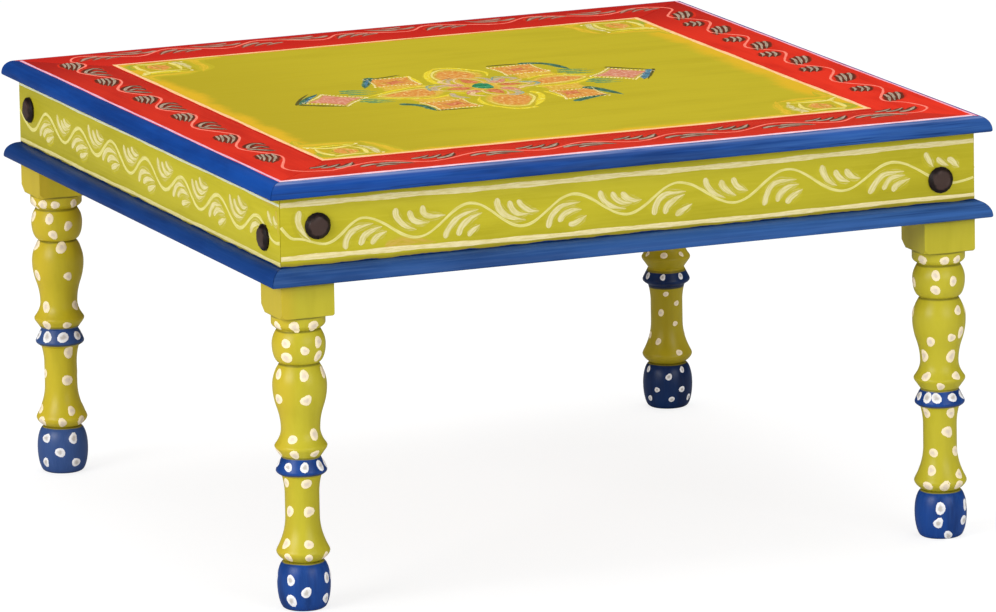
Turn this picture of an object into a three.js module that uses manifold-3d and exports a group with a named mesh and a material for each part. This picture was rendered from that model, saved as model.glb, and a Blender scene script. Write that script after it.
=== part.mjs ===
// A square low table of painted wood: a framed top with a rounded edge, a mitred apron
// on a moulded base frame, and four turned legs whose posts stand inside the apron's corners.
// Millimetres, +Z up, with the origin on the floor under the middle of the table.

import * as THREE from 'three';
import { mergeVertices } from 'three/addons/utils/BufferGeometryUtils.js';
import Module from 'manifold-3d';

const wasm = await Module();
wasm.setup();

// Plan of the whole table
const tableWidth = 600;
const tableDepth = 600;
const mouldingOverhang = 11;

// Joint clearances
const glueLine = 0.1;
const mitreGap = 0.2;
const holeClearance = 0.15;
const cutOverrun = 1;

// Framed top
const topThickness = 12;
const topRailWidth = 70;
const topMouldingWidth = 8.5;
const lipHeight = 1.25;
const tongueThickness = 4;
const tongueDepth = 8;
const tongueEndGap = 0.6;

// Apron boards
const apronHeight = 54.5;
const apronThickness = 15;

// Base frame under the apron
const baseRailThickness = 13;

// Square part of a leg
const legStock = 43;
const blockHeight = 27;
const blockCornerRadius = 27.5;
const blockCornerRise = 3.5;

// Turned part of a leg, from the floor up
const footFlatRadius = 14.5;
const footBallRadius = 20.4;
const footBallHeight = 37.5;
const footGrooveRadius = 14.2;
const lowerRidgeRadius = 20.4;
const lowerRidgeHeight = 8;
const neckRadius = 13.2;
const neckHeight = 58;
const ringSeatRadius = 15.2;
const ringRadius = 19.8;
const ringHeight = 14.5;
const ringGrooveRadius = 14.8;
const upperRidgeRadius = 20.2;
const upperRidgeHeight = 8.5;
const waistRadius = 15;
const waistHeight = 13.5;
const vaseRadius = 20.9;
const vaseHeight = 51.5;
const vaseGrooveRadius = 14.8;
const ballRadius = 20.6;
const ballHeight = 26.5;
const ballGrooveRadius = 16.3;
const collarRadius = 20.8;
const collarHeight = 11;

// Where the widest or narrowest place of a turned shape lies, as a share of that shape's height
const footBallPeakShare = 0.53;
const neckStartShare = 0.45;
const neckEndShare = 0.76;
const ringPeakShare = 0.24;
const vasePeakShare = 0.65;
const ballPeakShare = 0.53;
const collarRoundShare = 0.42;

// Iron studs through the apron into the posts
const studHeadRadius = 10.4;
const studHeadHeight = 4.2;
const studShankRadius = 2;
const studBite = 12;
const studPointLength = 5;
const studProfileShares = [[1, 0], [1, 0.3], [0.86, 0.62], [0.66, 0.92], [0, 1]];

// Each corner's studs: how far from the corner, as a share of the leg's stock
const highStudInsetShares = [0.71, 0.7, 0.7, 0.57];
const lowStudInsetShares = [0.76, 0.68, 0.7, 0.7];

// Height of the studs, as a share of the apron's height
const highStudShare = 0.555;
const lowStudShare = 0.34;

// Cleats inside the apron and battens under the panel
const cleatWidth = 18;
const cleatHeight = 18;
const cleatEndGap = 2;
const cleatScrewShare = 0.7;
const battenWidth = 32;
const battenHeight = 18;
const battenSpacing = 230;
const battenScrewShare = 0.5;

// Countersunk screws
const screwHeadRadius = 4;
const screwHeadHeight = 2.6;
const screwShankRadius = 2;
const screwBite = 8;
const screwPointLength = 4;
const screwSlotWidth = 1;
const screwSlotDepth = 1.1;

// Nails through the base rails
const nailHeadRadius = 2.8;
const nailHeadHeight = 1.1;
const nailShankRadius = 1.3;
const nailBite = 22;
const nailPointLength = 3;
const nailShare = 0.45;

// How finely round shapes are divided
const legSegments = 20;
const turningSteps = 3;
const mouldingSteps = 8;
const studSegments = 12;
const fastenerSegments = 10;

const yellowGreen = { color: 0xbdb02c, roughness: 0.42, metalness: 0 };
const red = { color: 0xd63020, roughness: 0.42, metalness: 0 };
const blue = { color: 0x1c4c9c, roughness: 0.38, metalness: 0 };
const bareWood = { color: 0xa87c4c, roughness: 0.8, metalness: 0 };
const iron = { color: 0x3a2a26, roughness: 0.5, metalness: 0.8 };
const steel = { color: 0x8a8883, roughness: 0.45, metalness: 0.9 };

// Heights, stacked from the floor up
const turnedHeight = footBallHeight + lowerRidgeHeight + neckHeight + ringHeight
  + upperRidgeHeight + waistHeight + vaseHeight + ballHeight + collarHeight;
const blockTop = turnedHeight + blockHeight;
const baseTop = blockTop + baseRailThickness;
const apronTop = baseTop + apronHeight;
const tableTop = apronTop + topThickness;

// Distances from the middle of the table, or inwards from its edge
const halfWidth = tableWidth / 2;
const halfDepth = tableDepth / 2;
const apronInset = mouldingOverhang + apronThickness;
const cleatInset = apronInset + glueLine;
const legInset = mouldingOverhang + legStock / 2;

// The sides go round the table anticlockwise. Each is built as the front, with its outside
// at -Y, and turned into place by quarter turns: its left end is the corner of its own number.
const sides = [
  { name: 'front', across: halfDepth, along: halfWidth, ends: ['left', 'right'] },
  { name: 'right', across: halfWidth, along: halfDepth, ends: ['front', 'back'] },
  { name: 'back', across: halfDepth, along: halfWidth, ends: ['right', 'left'] },
  { name: 'left', across: halfWidth, along: halfDepth, ends: ['back', 'front'] },
];
const corners = [
  { name: 'front_left', x: -halfWidth + legInset, y: -halfDepth + legInset },
  { name: 'front_right', x: halfWidth - legInset, y: -halfDepth + legInset },
  { name: 'back_right', x: halfWidth - legInset, y: halfDepth - legInset },
  { name: 'back_left', x: -halfWidth + legInset, y: halfDepth - legInset },
];
const quarterTurn = Math.PI / 2;

const table = new THREE.Group();

function addPiece(parent, name, geometry, finish) {
  const piece = new THREE.Mesh(geometry, new THREE.MeshStandardMaterial(finish));
  piece.name = name;
  parent.add(piece);
  return piece;
}

// One group for each side and corner, so that what belongs to it is placed in its own frame
function turnedGroup(number) {
  const group = new THREE.Group();
  group.rotation.z = number * quarterTurn;
  table.add(group);
  return group;
}

// A closed mesh whose shared points are merged, without the empty triangles at a lathe's poles
function closedMesh(geometry) {
  const plain = geometry.clone();
  plain.deleteAttribute('normal');
  plain.deleteAttribute('uv');
  const merged = mergeVertices(plain);
  const index = [];
  for (let i = 0; i < merged.index.count; i += 3) {
    const [a, b, c] = [0, 1, 2].map((k) => merged.index.getX(i + k));
    if (a !== b && b !== c && c !== a) {
      index.push(a, b, c);
    }
  }
  merged.setIndex(index);
  return merged;
}

function solidOf(geometry) {
  const merged = closedMesh(geometry);
  return new wasm.Manifold(new wasm.Mesh({
    numProp: 3,
    vertProperties: new Float32Array(merged.attributes.position.array),
    triVerts: new Uint32Array(merged.index.array),
  }));
}

function geometryOf(solid) {
  const mesh = solid.getMesh();
  const geometry = new THREE.BufferGeometry();
  geometry.setAttribute('position', new THREE.BufferAttribute(mesh.vertProperties, 3));
  geometry.setIndex(new THREE.BufferAttribute(mesh.triVerts, 1));
  geometry.computeVertexNormals();
  return geometry;
}

// A box between two corners
function boxBetween(low, high) {
  const size = high.map((value, i) => value - low[i]);
  const box = new THREE.BoxGeometry(...size);
  box.translate(...low.map((value, i) => value + size[i] / 2));
  return box;
}

// A shape turned about Z from an outline of radius and height, which starts and ends on the axis
function turnedShape(outline, segments) {
  const shape = new THREE.LatheGeometry(outline, segments);
  shape.rotateX(quarterTurn);
  return closedMesh(shape);
}

// A plain round pin about Z, for cutting holes
function roundCutter(radius, low, high, segments) {
  const outline = [[0, low], [radius, low], [radius, high], [0, high]];
  return turnedShape(outline.map(([r, z]) => new THREE.Vector2(r, z)), segments);
}

// A bar of one side with mitred ends, from a section drawn inwards from the table's edge and up
function mitredBar(section, side) {
  const bar = new THREE.ExtrudeGeometry(section, {
    depth: side.along,
    bevelEnabled: false,
    curveSegments: mouldingSteps,
  });
  const place = bar.attributes.position;
  for (let i = 0; i < place.count; i += 1) {
    const inwards = place.getX(i);
    const height = place.getY(i);
    const end = place.getZ(i) > side.along / 2 ? 1 : -1;
    const halfLength = side.along - inwards - mitreGap / Math.SQRT2;
    place.setXYZ(i, end * halfLength, inwards - side.across, height);
  }
  return closedMesh(bar);
}

// The rounded outer edge that the top and the base frame share: a short upright lip,
// and above it a quarter of an ellipse up to the arris
function startMoulding(width, low, high) {
  const section = new THREE.Shape();
  section.moveTo(0, low);
  section.lineTo(0, low + lipHeight);
  section.absellipse(width, low + lipHeight, width, high - low - lipHeight, Math.PI, quarterTurn, true);
  return section;
}

const grooveLow = apronTop + topThickness / 2 - tongueThickness / 2 - glueLine;
const grooveHigh = apronTop + topThickness / 2 + tongueThickness / 2 + glueLine;

function topRailSection() {
  const section = startMoulding(topMouldingWidth, apronTop, tableTop);
  section.lineTo(topRailWidth, tableTop);
  section.lineTo(topRailWidth, grooveHigh);
  section.lineTo(topRailWidth - tongueDepth, grooveHigh);
  section.lineTo(topRailWidth - tongueDepth, grooveLow);
  section.lineTo(topRailWidth, grooveLow);
  section.lineTo(topRailWidth, apronTop);
  return section;
}

function baseRailSection() {
  const section = startMoulding(mouldingOverhang, blockTop, baseTop - glueLine);
  section.lineTo(apronInset, baseTop - glueLine);
  section.lineTo(apronInset, blockTop);
  return section;
}

function apronSection() {
  const section = new THREE.Shape();
  section.moveTo(mouldingOverhang, baseTop);
  section.lineTo(mouldingOverhang, apronTop - glueLine);
  section.lineTo(apronInset, apronTop - glueLine);
  section.lineTo(apronInset, baseTop);
  return section;
}

// Fasteners stand on their point's axis, with the head's outer face at height 0 and the point up,
// and a fastener's hole is the same shape with a clearance round it
function screwOutline(length, clearance) {
  const head = screwHeadRadius + clearance;
  const shank = screwShankRadius + clearance;
  const start = clearance > 0 ? -cutOverrun : 0;
  return [
    new THREE.Vector2(0, start),
    new THREE.Vector2(head, start),
    ...(clearance > 0 ? [new THREE.Vector2(head, 0)] : []),
    new THREE.Vector2(shank, screwHeadHeight),
    new THREE.Vector2(shank, length - screwPointLength + clearance),
    new THREE.Vector2(0, length + clearance),
  ];
}

function screw(length) {
  const blank = solidOf(turnedShape(screwOutline(length, 0), fastenerSegments));
  const slot = boxBetween(
    [-screwHeadRadius - cutOverrun, -screwSlotWidth / 2, -cutOverrun],
    [screwHeadRadius + cutOverrun, screwSlotWidth / 2, screwSlotDepth],
  );
  return geometryOf(blank.subtract(solidOf(slot)));
}

function screwHole(length) {
  return turnedShape(screwOutline(length, holeClearance), fastenerSegments);
}

function nailOutline(clearance) {
  const head = nailHeadRadius + clearance;
  const shank = nailShankRadius + clearance;
  const start = clearance > 0 ? -cutOverrun : 0;
  const length = baseRailThickness + nailBite;
  return [
    new THREE.Vector2(0, start),
    new THREE.Vector2(head, start),
    new THREE.Vector2(head, nailHeadHeight + clearance),
    new THREE.Vector2(shank, nailHeadHeight + clearance),
    new THREE.Vector2(shank, length - nailPointLength + clearance),
    new THREE.Vector2(0, length + clearance),
  ];
}

function nail() {
  return turnedShape(nailOutline(0), fastenerSegments);
}

function nailHole() {
  return turnedShape(nailOutline(holeClearance), fastenerSegments);
}

// A stud's head is a low dome of hammered facets, and its shank tapers to a point inside the post.
// It stands on its head's underside at height 0, with the head up.
const studShankLength = apronThickness + studBite;

function stud() {
  const dome = studProfileShares.map(([radius, height]) => (
    new THREE.Vector2(radius * studHeadRadius, glueLine + height * studHeadHeight)
  ));
  return turnedShape([
    new THREE.Vector2(0, -studShankLength),
    new THREE.Vector2(studShankRadius, studPointLength - studShankLength),
    new THREE.Vector2(studShankRadius, glueLine),
    ...dome,
  ], studSegments);
}

function studHole() {
  const radius = studShankRadius + holeClearance;
  return roundCutter(radius, -studShankLength - holeClearance, cutOverrun, studSegments);
}

const highStudHeight = baseTop + highStudShare * apronHeight;
const lowStudHeight = baseTop + lowStudShare * apronHeight;

// Puts a shape that points along +Z on a side's outer face, pointing outwards
function onFace(shape, x, face, z) {
  const placed = shape.clone();
  placed.rotateX(quarterTurn);
  placed.translate(x, face, z);
  return placed;
}

// The two studs of a side: a high one near its left corner, and a low one near its right corner
function studPlaces(side, number) {
  const apronEnd = side.along - mouldingOverhang;
  const next = (number + 1) % corners.length;
  return [
    { end: side.ends[0], x: -apronEnd + highStudInsetShares[number] * legStock, z: highStudHeight },
    { end: side.ends[1], x: apronEnd - lowStudInsetShares[next] * legStock, z: lowStudHeight },
  ];
}

// One curved stretch of a turning, from one radius and height to another, which sets out towards
// the bend's radius: the wider end's radius gives a full curve, and the narrower end's a hollow one
function stretch(fromRadius, fromHeight, toRadius, toHeight, bendRadius) {
  const curve = new THREE.QuadraticBezierCurve(
    new THREE.Vector2(fromRadius, fromHeight),
    new THREE.Vector2(bendRadius, (fromHeight + toHeight) / 2),
    new THREE.Vector2(toRadius, toHeight),
  );
  return curve.getPoints(turningSteps);
}

// A quarter of an ellipse, from a ball's narrow place to its widest
function quarterBall(narrowRadius, narrowHeight, wideRadius, wideHeight) {
  return [...Array(turningSteps + 1).keys()].map((step) => {
    const angle = step / turningSteps * quarterTurn;
    const radius = narrowRadius + (wideRadius - narrowRadius) * Math.sin(angle);
    return new THREE.Vector2(radius, wideHeight + (narrowHeight - wideHeight) * Math.cos(angle));
  });
}

function legOutline() {
  const outline = [new THREE.Vector2(0, 0)];
  const add = (points) => points.forEach((point) => {
    if (!point.equals(outline.at(-1))) {
      outline.push(point);
    }
  });
  let height = 0;

  const footPeak = footBallPeakShare * footBallHeight;
  add(quarterBall(footFlatRadius, height, footBallRadius, footPeak));
  height = footBallHeight;
  add(quarterBall(footGrooveRadius, height, footBallRadius, footPeak).reverse());

  const lowerRidge = height + lowerRidgeHeight;
  add(stretch(footGrooveRadius, height, lowerRidgeRadius, lowerRidge, lowerRidgeRadius));
  height = lowerRidge;

  const neckStart = height + neckStartShare * neckHeight;
  const neckEnd = height + neckEndShare * neckHeight;
  add(stretch(lowerRidgeRadius, height, neckRadius, neckStart, neckRadius));
  height += neckHeight;
  add(stretch(neckRadius, neckEnd, ringSeatRadius, height, neckRadius));

  const ringPeak = height + ringPeakShare * ringHeight;
  height += ringHeight;
  add([new THREE.Vector2(ringRadius, ringPeak), new THREE.Vector2(ringGrooveRadius, height)]);

  height += upperRidgeHeight;
  add([new THREE.Vector2(upperRidgeRadius, height)]);
  const upperRidge = height;
  height += waistHeight;
  add(stretch(upperRidgeRadius, upperRidge, waistRadius, height, waistRadius));

  const vasePeak = height + vasePeakShare * vaseHeight;
  const vaseMiddle = (height + vasePeak) / 2;
  const vaseMiddleRadius = (waistRadius + vaseRadius) / 2;
  add(stretch(waistRadius, height, vaseMiddleRadius, vaseMiddle, waistRadius));
  add(stretch(vaseMiddleRadius, vaseMiddle, vaseRadius, vasePeak, vaseRadius));
  height += vaseHeight;
  add(stretch(vaseRadius, vasePeak, vaseGrooveRadius, height, vaseRadius));

  const ballPeak = height + ballPeakShare * ballHeight;
  add(quarterBall(vaseGrooveRadius, height, ballRadius, ballPeak));
  height += ballHeight;
  add(stretch(ballRadius, ballPeak, ballGrooveRadius, height, ballRadius));

  const collarRound = height + collarRoundShare * collarHeight;
  add(stretch(ballGrooveRadius, height, collarRadius, collarRound, collarRadius));

  // The turning runs on into the block, which is wider
  const insideBlock = turnedHeight + blockHeight / 2;
  add([new THREE.Vector2(collarRadius, insideBlock), new THREE.Vector2(0, insideBlock)]);
  return outline;
}

// The square block, whose corners the lathe has nipped where the turning starts
function legBlock() {
  const half = legStock / 2;
  const block = boxBetween([-half, -half, turnedHeight], [half, half, blockTop - glueLine]);
  const outside = legStock;
  const nipped = turnedShape([
    new THREE.Vector2(0, turnedHeight - cutOverrun),
    new THREE.Vector2(blockCornerRadius, turnedHeight - cutOverrun),
    new THREE.Vector2(blockCornerRadius, turnedHeight),
    new THREE.Vector2(legStock / Math.SQRT2, turnedHeight + blockCornerRise),
    new THREE.Vector2(outside, turnedHeight + blockCornerRise),
    new THREE.Vector2(outside, blockTop + cutOverrun),
    new THREE.Vector2(0, blockTop + cutOverrun),
  ], legSegments);
  return solidOf(block).intersect(solidOf(nipped));
}

// A leg stands in its own frame: the axis at the origin, the outer faces at -X and -Y
function leg(number) {
  const half = legStock / 2;
  const postFace = -half + apronThickness + glueLine;
  const post = boxBetween(
    [postFace, postFace, blockTop - blockHeight / 2],
    [half, half, apronTop - glueLine],
  );
  const highHole = onFace(
    studHole(), -half + highStudInsetShares[number] * legStock, -half, highStudHeight,
  );
  const lowHole = onFace(
    studHole(), half - lowStudInsetShares[number] * legStock, -half, lowStudHeight,
  );
  lowHole.rotateZ(-quarterTurn);
  return geometryOf(
    solidOf(turnedShape(legOutline(), legSegments))
      .add(legBlock())
      .add(solidOf(post))
      .subtract(solidOf(highHole))
      .subtract(solidOf(lowHole)),
  );
}

const panelHalf = [halfWidth - topRailWidth - glueLine, halfDepth - topRailWidth - glueLine];
const battenHalfLength = halfDepth - cleatInset - cleatWidth - glueLine;
const battenLow = apronTop - glueLine - battenHeight;
const battenScrewLength = battenHeight + glueLine + screwBite;
const battenPlaces = [
  { name: 'left', x: -battenSpacing / 2 },
  { name: 'right', x: battenSpacing / 2 },
];
const battenScrewPlaces = [
  { name: 'front', y: -battenScrewShare * battenHalfLength },
  { name: 'back', y: battenScrewShare * battenHalfLength },
];

function battenScrewHole(x, y) {
  return screwHole(battenScrewLength).translate(x, y, battenLow);
}

function topPanel() {
  const [halfX, halfY] = panelHalf;
  const reach = tongueDepth - tongueEndGap;
  const field = boxBetween([-halfX, -halfY, apronTop], [halfX, halfY, tableTop]);
  const tongue = boxBetween(
    [-halfX - reach, -halfY - reach, grooveLow + glueLine],
    [halfX + reach, halfY + reach, grooveHigh - glueLine],
  );
  let panel = solidOf(field).add(solidOf(tongue));
  for (const batten of battenPlaces) {
    for (const place of battenScrewPlaces) {
      panel = panel.subtract(solidOf(battenScrewHole(batten.x, place.y)));
    }
  }
  return geometryOf(panel);
}

function batten(x) {
  let strip = solidOf(boxBetween(
    [x - battenWidth / 2, -battenHalfLength, battenLow],
    [x + battenWidth / 2, battenHalfLength, apronTop - glueLine],
  ));
  for (const place of battenScrewPlaces) {
    strip = strip.subtract(solidOf(battenScrewHole(x, place.y)));
  }
  return geometryOf(strip);
}

const cleatLow = apronTop - glueLine - cleatHeight;
const cleatScrewLength = cleatHeight + glueLine + screwBite;

function cleatHalfLength(side) {
  return side.along - mouldingOverhang - legStock - cleatEndGap;
}

function cleatScrewPlaces(side) {
  const y = cleatInset + cleatWidth / 2 - side.across;
  return side.ends.map((end, i) => (
    { end, x: (i === 0 ? -1 : 1) * cleatScrewShare * cleatHalfLength(side), y }
  ));
}

function cleatScrewHoles(side) {
  return cleatScrewPlaces(side).map(({ x, y }) => screwHole(cleatScrewLength).translate(x, y, cleatLow));
}

function nailPlaces(side) {
  const y = mouldingOverhang + apronThickness / 2 - side.across;
  return side.ends.map((end, i) => ({ end, x: (i === 0 ? -1 : 1) * nailShare * side.along, y }));
}

function nailHoles(side) {
  return nailPlaces(side).map(({ x, y }) => nailHole().translate(x, y, blockTop));
}

function cut(geometry, cutters) {
  return geometryOf(cutters.reduce((solid, cutter) => solid.subtract(solidOf(cutter)), solidOf(geometry)));
}

function addSide(side, number) {
  const group = turnedGroup(number);
  const apronFace = mouldingOverhang - side.across;
  const studs = studPlaces(side, number);
  const studHoles = studs.map(({ x, z }) => onFace(studHole(), x, apronFace, z));

  const topRail = cut(mitredBar(topRailSection(), side), cleatScrewHoles(side));
  addPiece(group, `top_rail_${side.name}`, topRail, red);

  const apron = cut(mitredBar(apronSection(), side), [...studHoles, ...nailHoles(side)]);
  addPiece(group, `apron_${side.name}`, apron, yellowGreen);

  const baseRail = cut(mitredBar(baseRailSection(), side), nailHoles(side));
  addPiece(group, `base_rail_${side.name}`, baseRail, blue);

  const half = cleatHalfLength(side);
  const cleat = boxBetween(
    [-half, cleatInset - side.across, cleatLow],
    [half, cleatInset + cleatWidth - side.across, apronTop - glueLine],
  );
  addPiece(group, `cleat_${side.name}`, cut(cleat, cleatScrewHoles(side)), bareWood);

  for (const { end, x, z } of studs) {
    const piece = addPiece(group, `stud_${side.name}_${end}`, stud(), iron);
    piece.position.set(x, apronFace, z);
    piece.rotation.x = quarterTurn;
  }
  for (const { end, x, y } of cleatScrewPlaces(side)) {
    const piece = addPiece(group, `cleat_screw_${side.name}_${end}`, screw(cleatScrewLength), steel);
    piece.position.set(x, y, cleatLow);
  }
  for (const { end, x, y } of nailPlaces(side)) {
    addPiece(group, `base_nail_${side.name}_${end}`, nail(), steel).position.set(x, y, blockTop);
  }
}

function addLeg(corner, number) {
  const piece = addPiece(table, `leg_${corner.name}`, leg(number), yellowGreen);
  piece.position.set(corner.x, corner.y, 0);
  piece.rotation.z = number * quarterTurn;
}

function addMiddle() {
  addPiece(table, 'top_panel', topPanel(), yellowGreen);
  for (const { name, x } of battenPlaces) {
    addPiece(table, `batten_${name}`, batten(x), bareWood);
    for (const place of battenScrewPlaces) {
      const piece = addPiece(table, `batten_screw_${name}_${place.name}`, screw(battenScrewLength), steel);
      piece.position.set(x, place.y, battenLow);
    }
  }
}

addMiddle();
sides.forEach(addSide);
corners.forEach(addLeg);

export default table;
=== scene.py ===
# A hand-painted bajot: a square low table of turned and moulded wood, with brushed oil paint,
# iron studs and folk ornament. Shapes are made in millimetres and scaled to metres when finished.

import bisect
import functools
import math
import random

import bmesh
import bpy
from mathutils import Matrix, Vector


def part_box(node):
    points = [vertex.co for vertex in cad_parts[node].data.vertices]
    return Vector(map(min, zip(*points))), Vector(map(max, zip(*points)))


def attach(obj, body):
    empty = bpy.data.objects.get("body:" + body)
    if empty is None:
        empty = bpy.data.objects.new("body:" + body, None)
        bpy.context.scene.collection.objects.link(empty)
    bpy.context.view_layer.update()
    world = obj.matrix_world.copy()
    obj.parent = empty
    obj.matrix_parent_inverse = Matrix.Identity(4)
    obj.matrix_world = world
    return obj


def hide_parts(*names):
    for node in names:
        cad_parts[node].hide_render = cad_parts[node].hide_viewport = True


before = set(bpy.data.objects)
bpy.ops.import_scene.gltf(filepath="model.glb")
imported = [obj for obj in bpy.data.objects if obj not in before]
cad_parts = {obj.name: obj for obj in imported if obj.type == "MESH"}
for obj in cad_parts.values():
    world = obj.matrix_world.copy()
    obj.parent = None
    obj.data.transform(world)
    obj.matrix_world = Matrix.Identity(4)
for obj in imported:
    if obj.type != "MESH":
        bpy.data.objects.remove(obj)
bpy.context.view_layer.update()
bpy.context.scene.view_settings.view_transform = "Standard"

MM = 0.001
QUARTER_TURN = math.pi / 2

# Sides go round anticlockwise; each is drawn as the front and turned by quarter turns.
SIDES = ("front", "right", "back", "left")
CORNERS = ("front_left", "front_right", "back_right", "back_left")


def node_box(name):
    """The lowest and the highest corner of a solid, in millimetres."""
    low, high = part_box(name)
    return low / MM, high / MM


# Heights and distances from the middle, read from the solids
HALF = -node_box("top_rail_front")[0].y
TOP_LOW, TOP_HIGH = (corner.z for corner in node_box("top_rail_front"))
APRON_LOW, APRON_HIGH = (corner.z for corner in node_box("apron_front"))
APRON_FACE, APRON_BACK = (-corner.y for corner in node_box("apron_front"))
BASE_LOW, BASE_HIGH = (corner.z for corner in node_box("base_rail_front"))
RAIL_INNER = -node_box("top_rail_front")[1].y
LEG_OUTER, LEG_INNER = (-corner.y for corner in node_box("leg_front_left"))
LEG_STOCK = LEG_OUTER - LEG_INNER
LEG_AXIS = LEG_INNER + LEG_STOCK / 2

# Mouldings, edges and joints
TOP_MOULDING = 8.5
BASE_MOULDING = 11
LIP = 1.25
LIP_STEPS = 4
MOULDING_STEPS = 14
MITRE_GAP = 0.2
GLUE_GAP = 0.1
ARRIS_ROUND = 0.5

# Thickness of paint, and how deep a stroke's rim sits in the surface
PAINT_RISE = 0.16
PAINT_ROOT = 0.12

# Colours, as sRGB: a dark, a middle and a light tone
YELLOW_GREEN = ("B4A922", "BFB42A", "C8BC34")
FIELD = ("B8A81C", "BEAE20", "C4B626")
RED = ("C8220E", "DA2C14", "E6361C")
BLUE = ("0A2E68", "124390", "28569E")
# The same blue for the top moulding's left and right sides, a little darker and more saturated: painted shade
BLUE_SHADED_SIDES = ("0A367C", "0E4494", "1C50A0")
# The base's blue for the front and back, and a darker copy of it for the sides: painted shade on the sides
BLUE_BASE = (("1C3E74", "284F8A", "46679C"), ("0E326E", "143C7C", "20468A"))
CREAM = ("D8CC84", "EAE0A8")
# Bare wood: its bands, its ground and its grain
WOOD = ("A9804E", "BD9664", "8A6238")

# How a node is set, and which of its outputs it gives, unless a call says otherwise
ALL = slice(None)
USUAL = {
    "Attribute": ({}, "Fac"),
    "MapRange": ({"interpolation_type": "SMOOTHSTEP"}, 0),
    "Math": ({"operation": "MULTIPLY"}, 0),
    "Mix": ({"data_type": "RGBA"}, 2),
    "OutputMaterial": ({}, ALL),
    "OutputWorld": ({}, ALL),
    "SeparateXYZ": ({}, ALL),
    "TexCoord": ({}, "Object"),
}


def linear(hex_colour):
    """An sRGB hex colour as a linear one."""
    shares = [int(hex_colour[i:i + 2], 16) / 255 for i in (0, 2, 4)]
    return [s / 12.92 if s <= 0.04045 else ((s + 0.055) / 1.055) ** 2.4 for s in shares] + [1.0]


def add_node(tree, kind, inputs=None, out=None, **settings):
    """Adds one node with its settings, sets or links its inputs, and returns one output or all."""
    made = tree.nodes.new("ShaderNode" + kind)
    usual, usual_out = USUAL.get(kind, ({}, 0))
    for name, value in {**usual, **settings}.items():
        setattr(made, name, value)
    for name, value in (inputs or {}).items():
        if isinstance(value, bpy.types.NodeSocket):
            tree.links.new(value, made.inputs[name])
        else:
            made.inputs[name].default_value = linear(value) if isinstance(value, str) else value
    return made.outputs[usual_out if out is None else out]


def new_material(name):
    """A material without nodes, and the function that adds one to it."""
    material = bpy.data.materials.new(name)
    material.use_nodes = True
    material.node_tree.nodes.clear()
    return material, functools.partial(add_node, material.node_tree)


def brush_marks(add, along, width, run, levels=None):
    """Marks of a brush's bristles, drawn out along one axis: a mark's width and run are in mm. Given
    two levels, the marks are stretched to run from nothing to full between them."""
    scale = [1 / (width * MM)] * 3
    scale[along] = 1 / (run * MM)
    drawn = add("Mapping", {"Vector": add("TexCoord"), "Scale": scale})
    marks = add("TexNoise", {"Vector": drawn, "Scale": 1.0, "Detail": 3.0, "Roughness": 0.6})
    return add("MapRange", {0: marks, 1: levels[0], 2: levels[1]}) if levels else marks


def laid_over(add, colour, tint, share, most):
    """A colour with another over it, by a share of what there is at most."""
    return add("Mix", {0: add("Math", {0: share, 1: most}), 6: colour, 7: tint})


def coat(add, tones, along, fine_part=0.4, broad=(24, 110, (0.4, 0.72)), fine=(1.8, 70, (0.42, 0.75))):
    """Brushed paint: broad strokes of the dark tone on the middle one, and fine marks of the light one."""
    dark, middle, light = tones
    colour = add("Mix", {0: brush_marks(add, along, *broad), 6: middle, 7: dark})
    return laid_over(add, colour, light, brush_marks(add, along, *fine), fine_part)


def wood_colour(add, along):
    """Bare planed wood: bands and grain lines along the piece, in three browns."""
    return coat(add, WOOD, along, 0.7, (11, 260, (0.35, 0.68)), (2.2, 120, (0.38, 0.66)))


def blue_with_painted_sheen(add, paint, x):
    """The moulding's blue with a painted sheen: paler and greyer along the front towards its right end."""
    share = add("MapRange", {0: x, 1: -150 * MM, 2: 280 * MM})
    return laid_over(add, paint, "3A68AC", share, brush_marks(add, 0, 2.6, 110, (0.2, 0.8)))


def from_middle(add):
    """Distance in metres from the table's middle to the wavering square that runs through a point,
    and the point's own three distances."""
    place = add("TexCoord")
    x, y, z = add("SeparateXYZ", {0: place})
    across = [add("Math", {0: way}, operation="ABSOLUTE") for way in (x, y)]
    wobble = add("TexNoise", {"Vector": place, "Scale": 30.0, "Detail": 2.0})
    shift = add("Math", {0: wobble, 1: 2.4 * MM, 2: -1.2 * MM}, operation="MULTIPLY_ADD")
    most = add("Math", {0: across[0], 1: across[1]}, operation="MAXIMUM")
    return add("Math", {0: most, 1: shift}, operation="ADD"), x, y, z


# What the shader of each kind of surface is given
SOFT_SHEEN = {"IOR": 1.45, "Specular IOR Level": 0.12}
SOFT_GLOSS = {"IOR": 1.45, "Specular IOR Level": 0.35}
IRON_SHINE = {"Specular IOR Level": 0.3}
METAL = {"Metallic": 1.0}
RELIEF_DEPTH = 0.4


def surfaced(add, colour, marks, rough, bump, shine=SOFT_SHEEN):
    """Ends a surface: its marks vary its roughness between two levels and stand in relief."""
    roughness = add("MapRange", {0: marks, 3: rough[0], 4: rough[1]}, interpolation_type="LINEAR")
    inputs = {"Base Color": colour, "Roughness": roughness, **shine}
    if bump:
        inputs["Normal"] = add("Bump", {"Height": marks, "Strength": bump, "Distance": RELIEF_DEPTH * MM})
    add("OutputMaterial", {"Surface": add("BsdfPrincipled", inputs)})


def bare_wood(along):
    """Planed, unfinished hardwood: matt, with fine dark grain."""
    material, add = new_material(f"planed_wood_{'xyz'[along]}")
    surfaced(add, wood_colour(add, along), brush_marks(add, along, 1.2, 60), (0.64, 0.8), 0.3)
    return material


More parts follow.
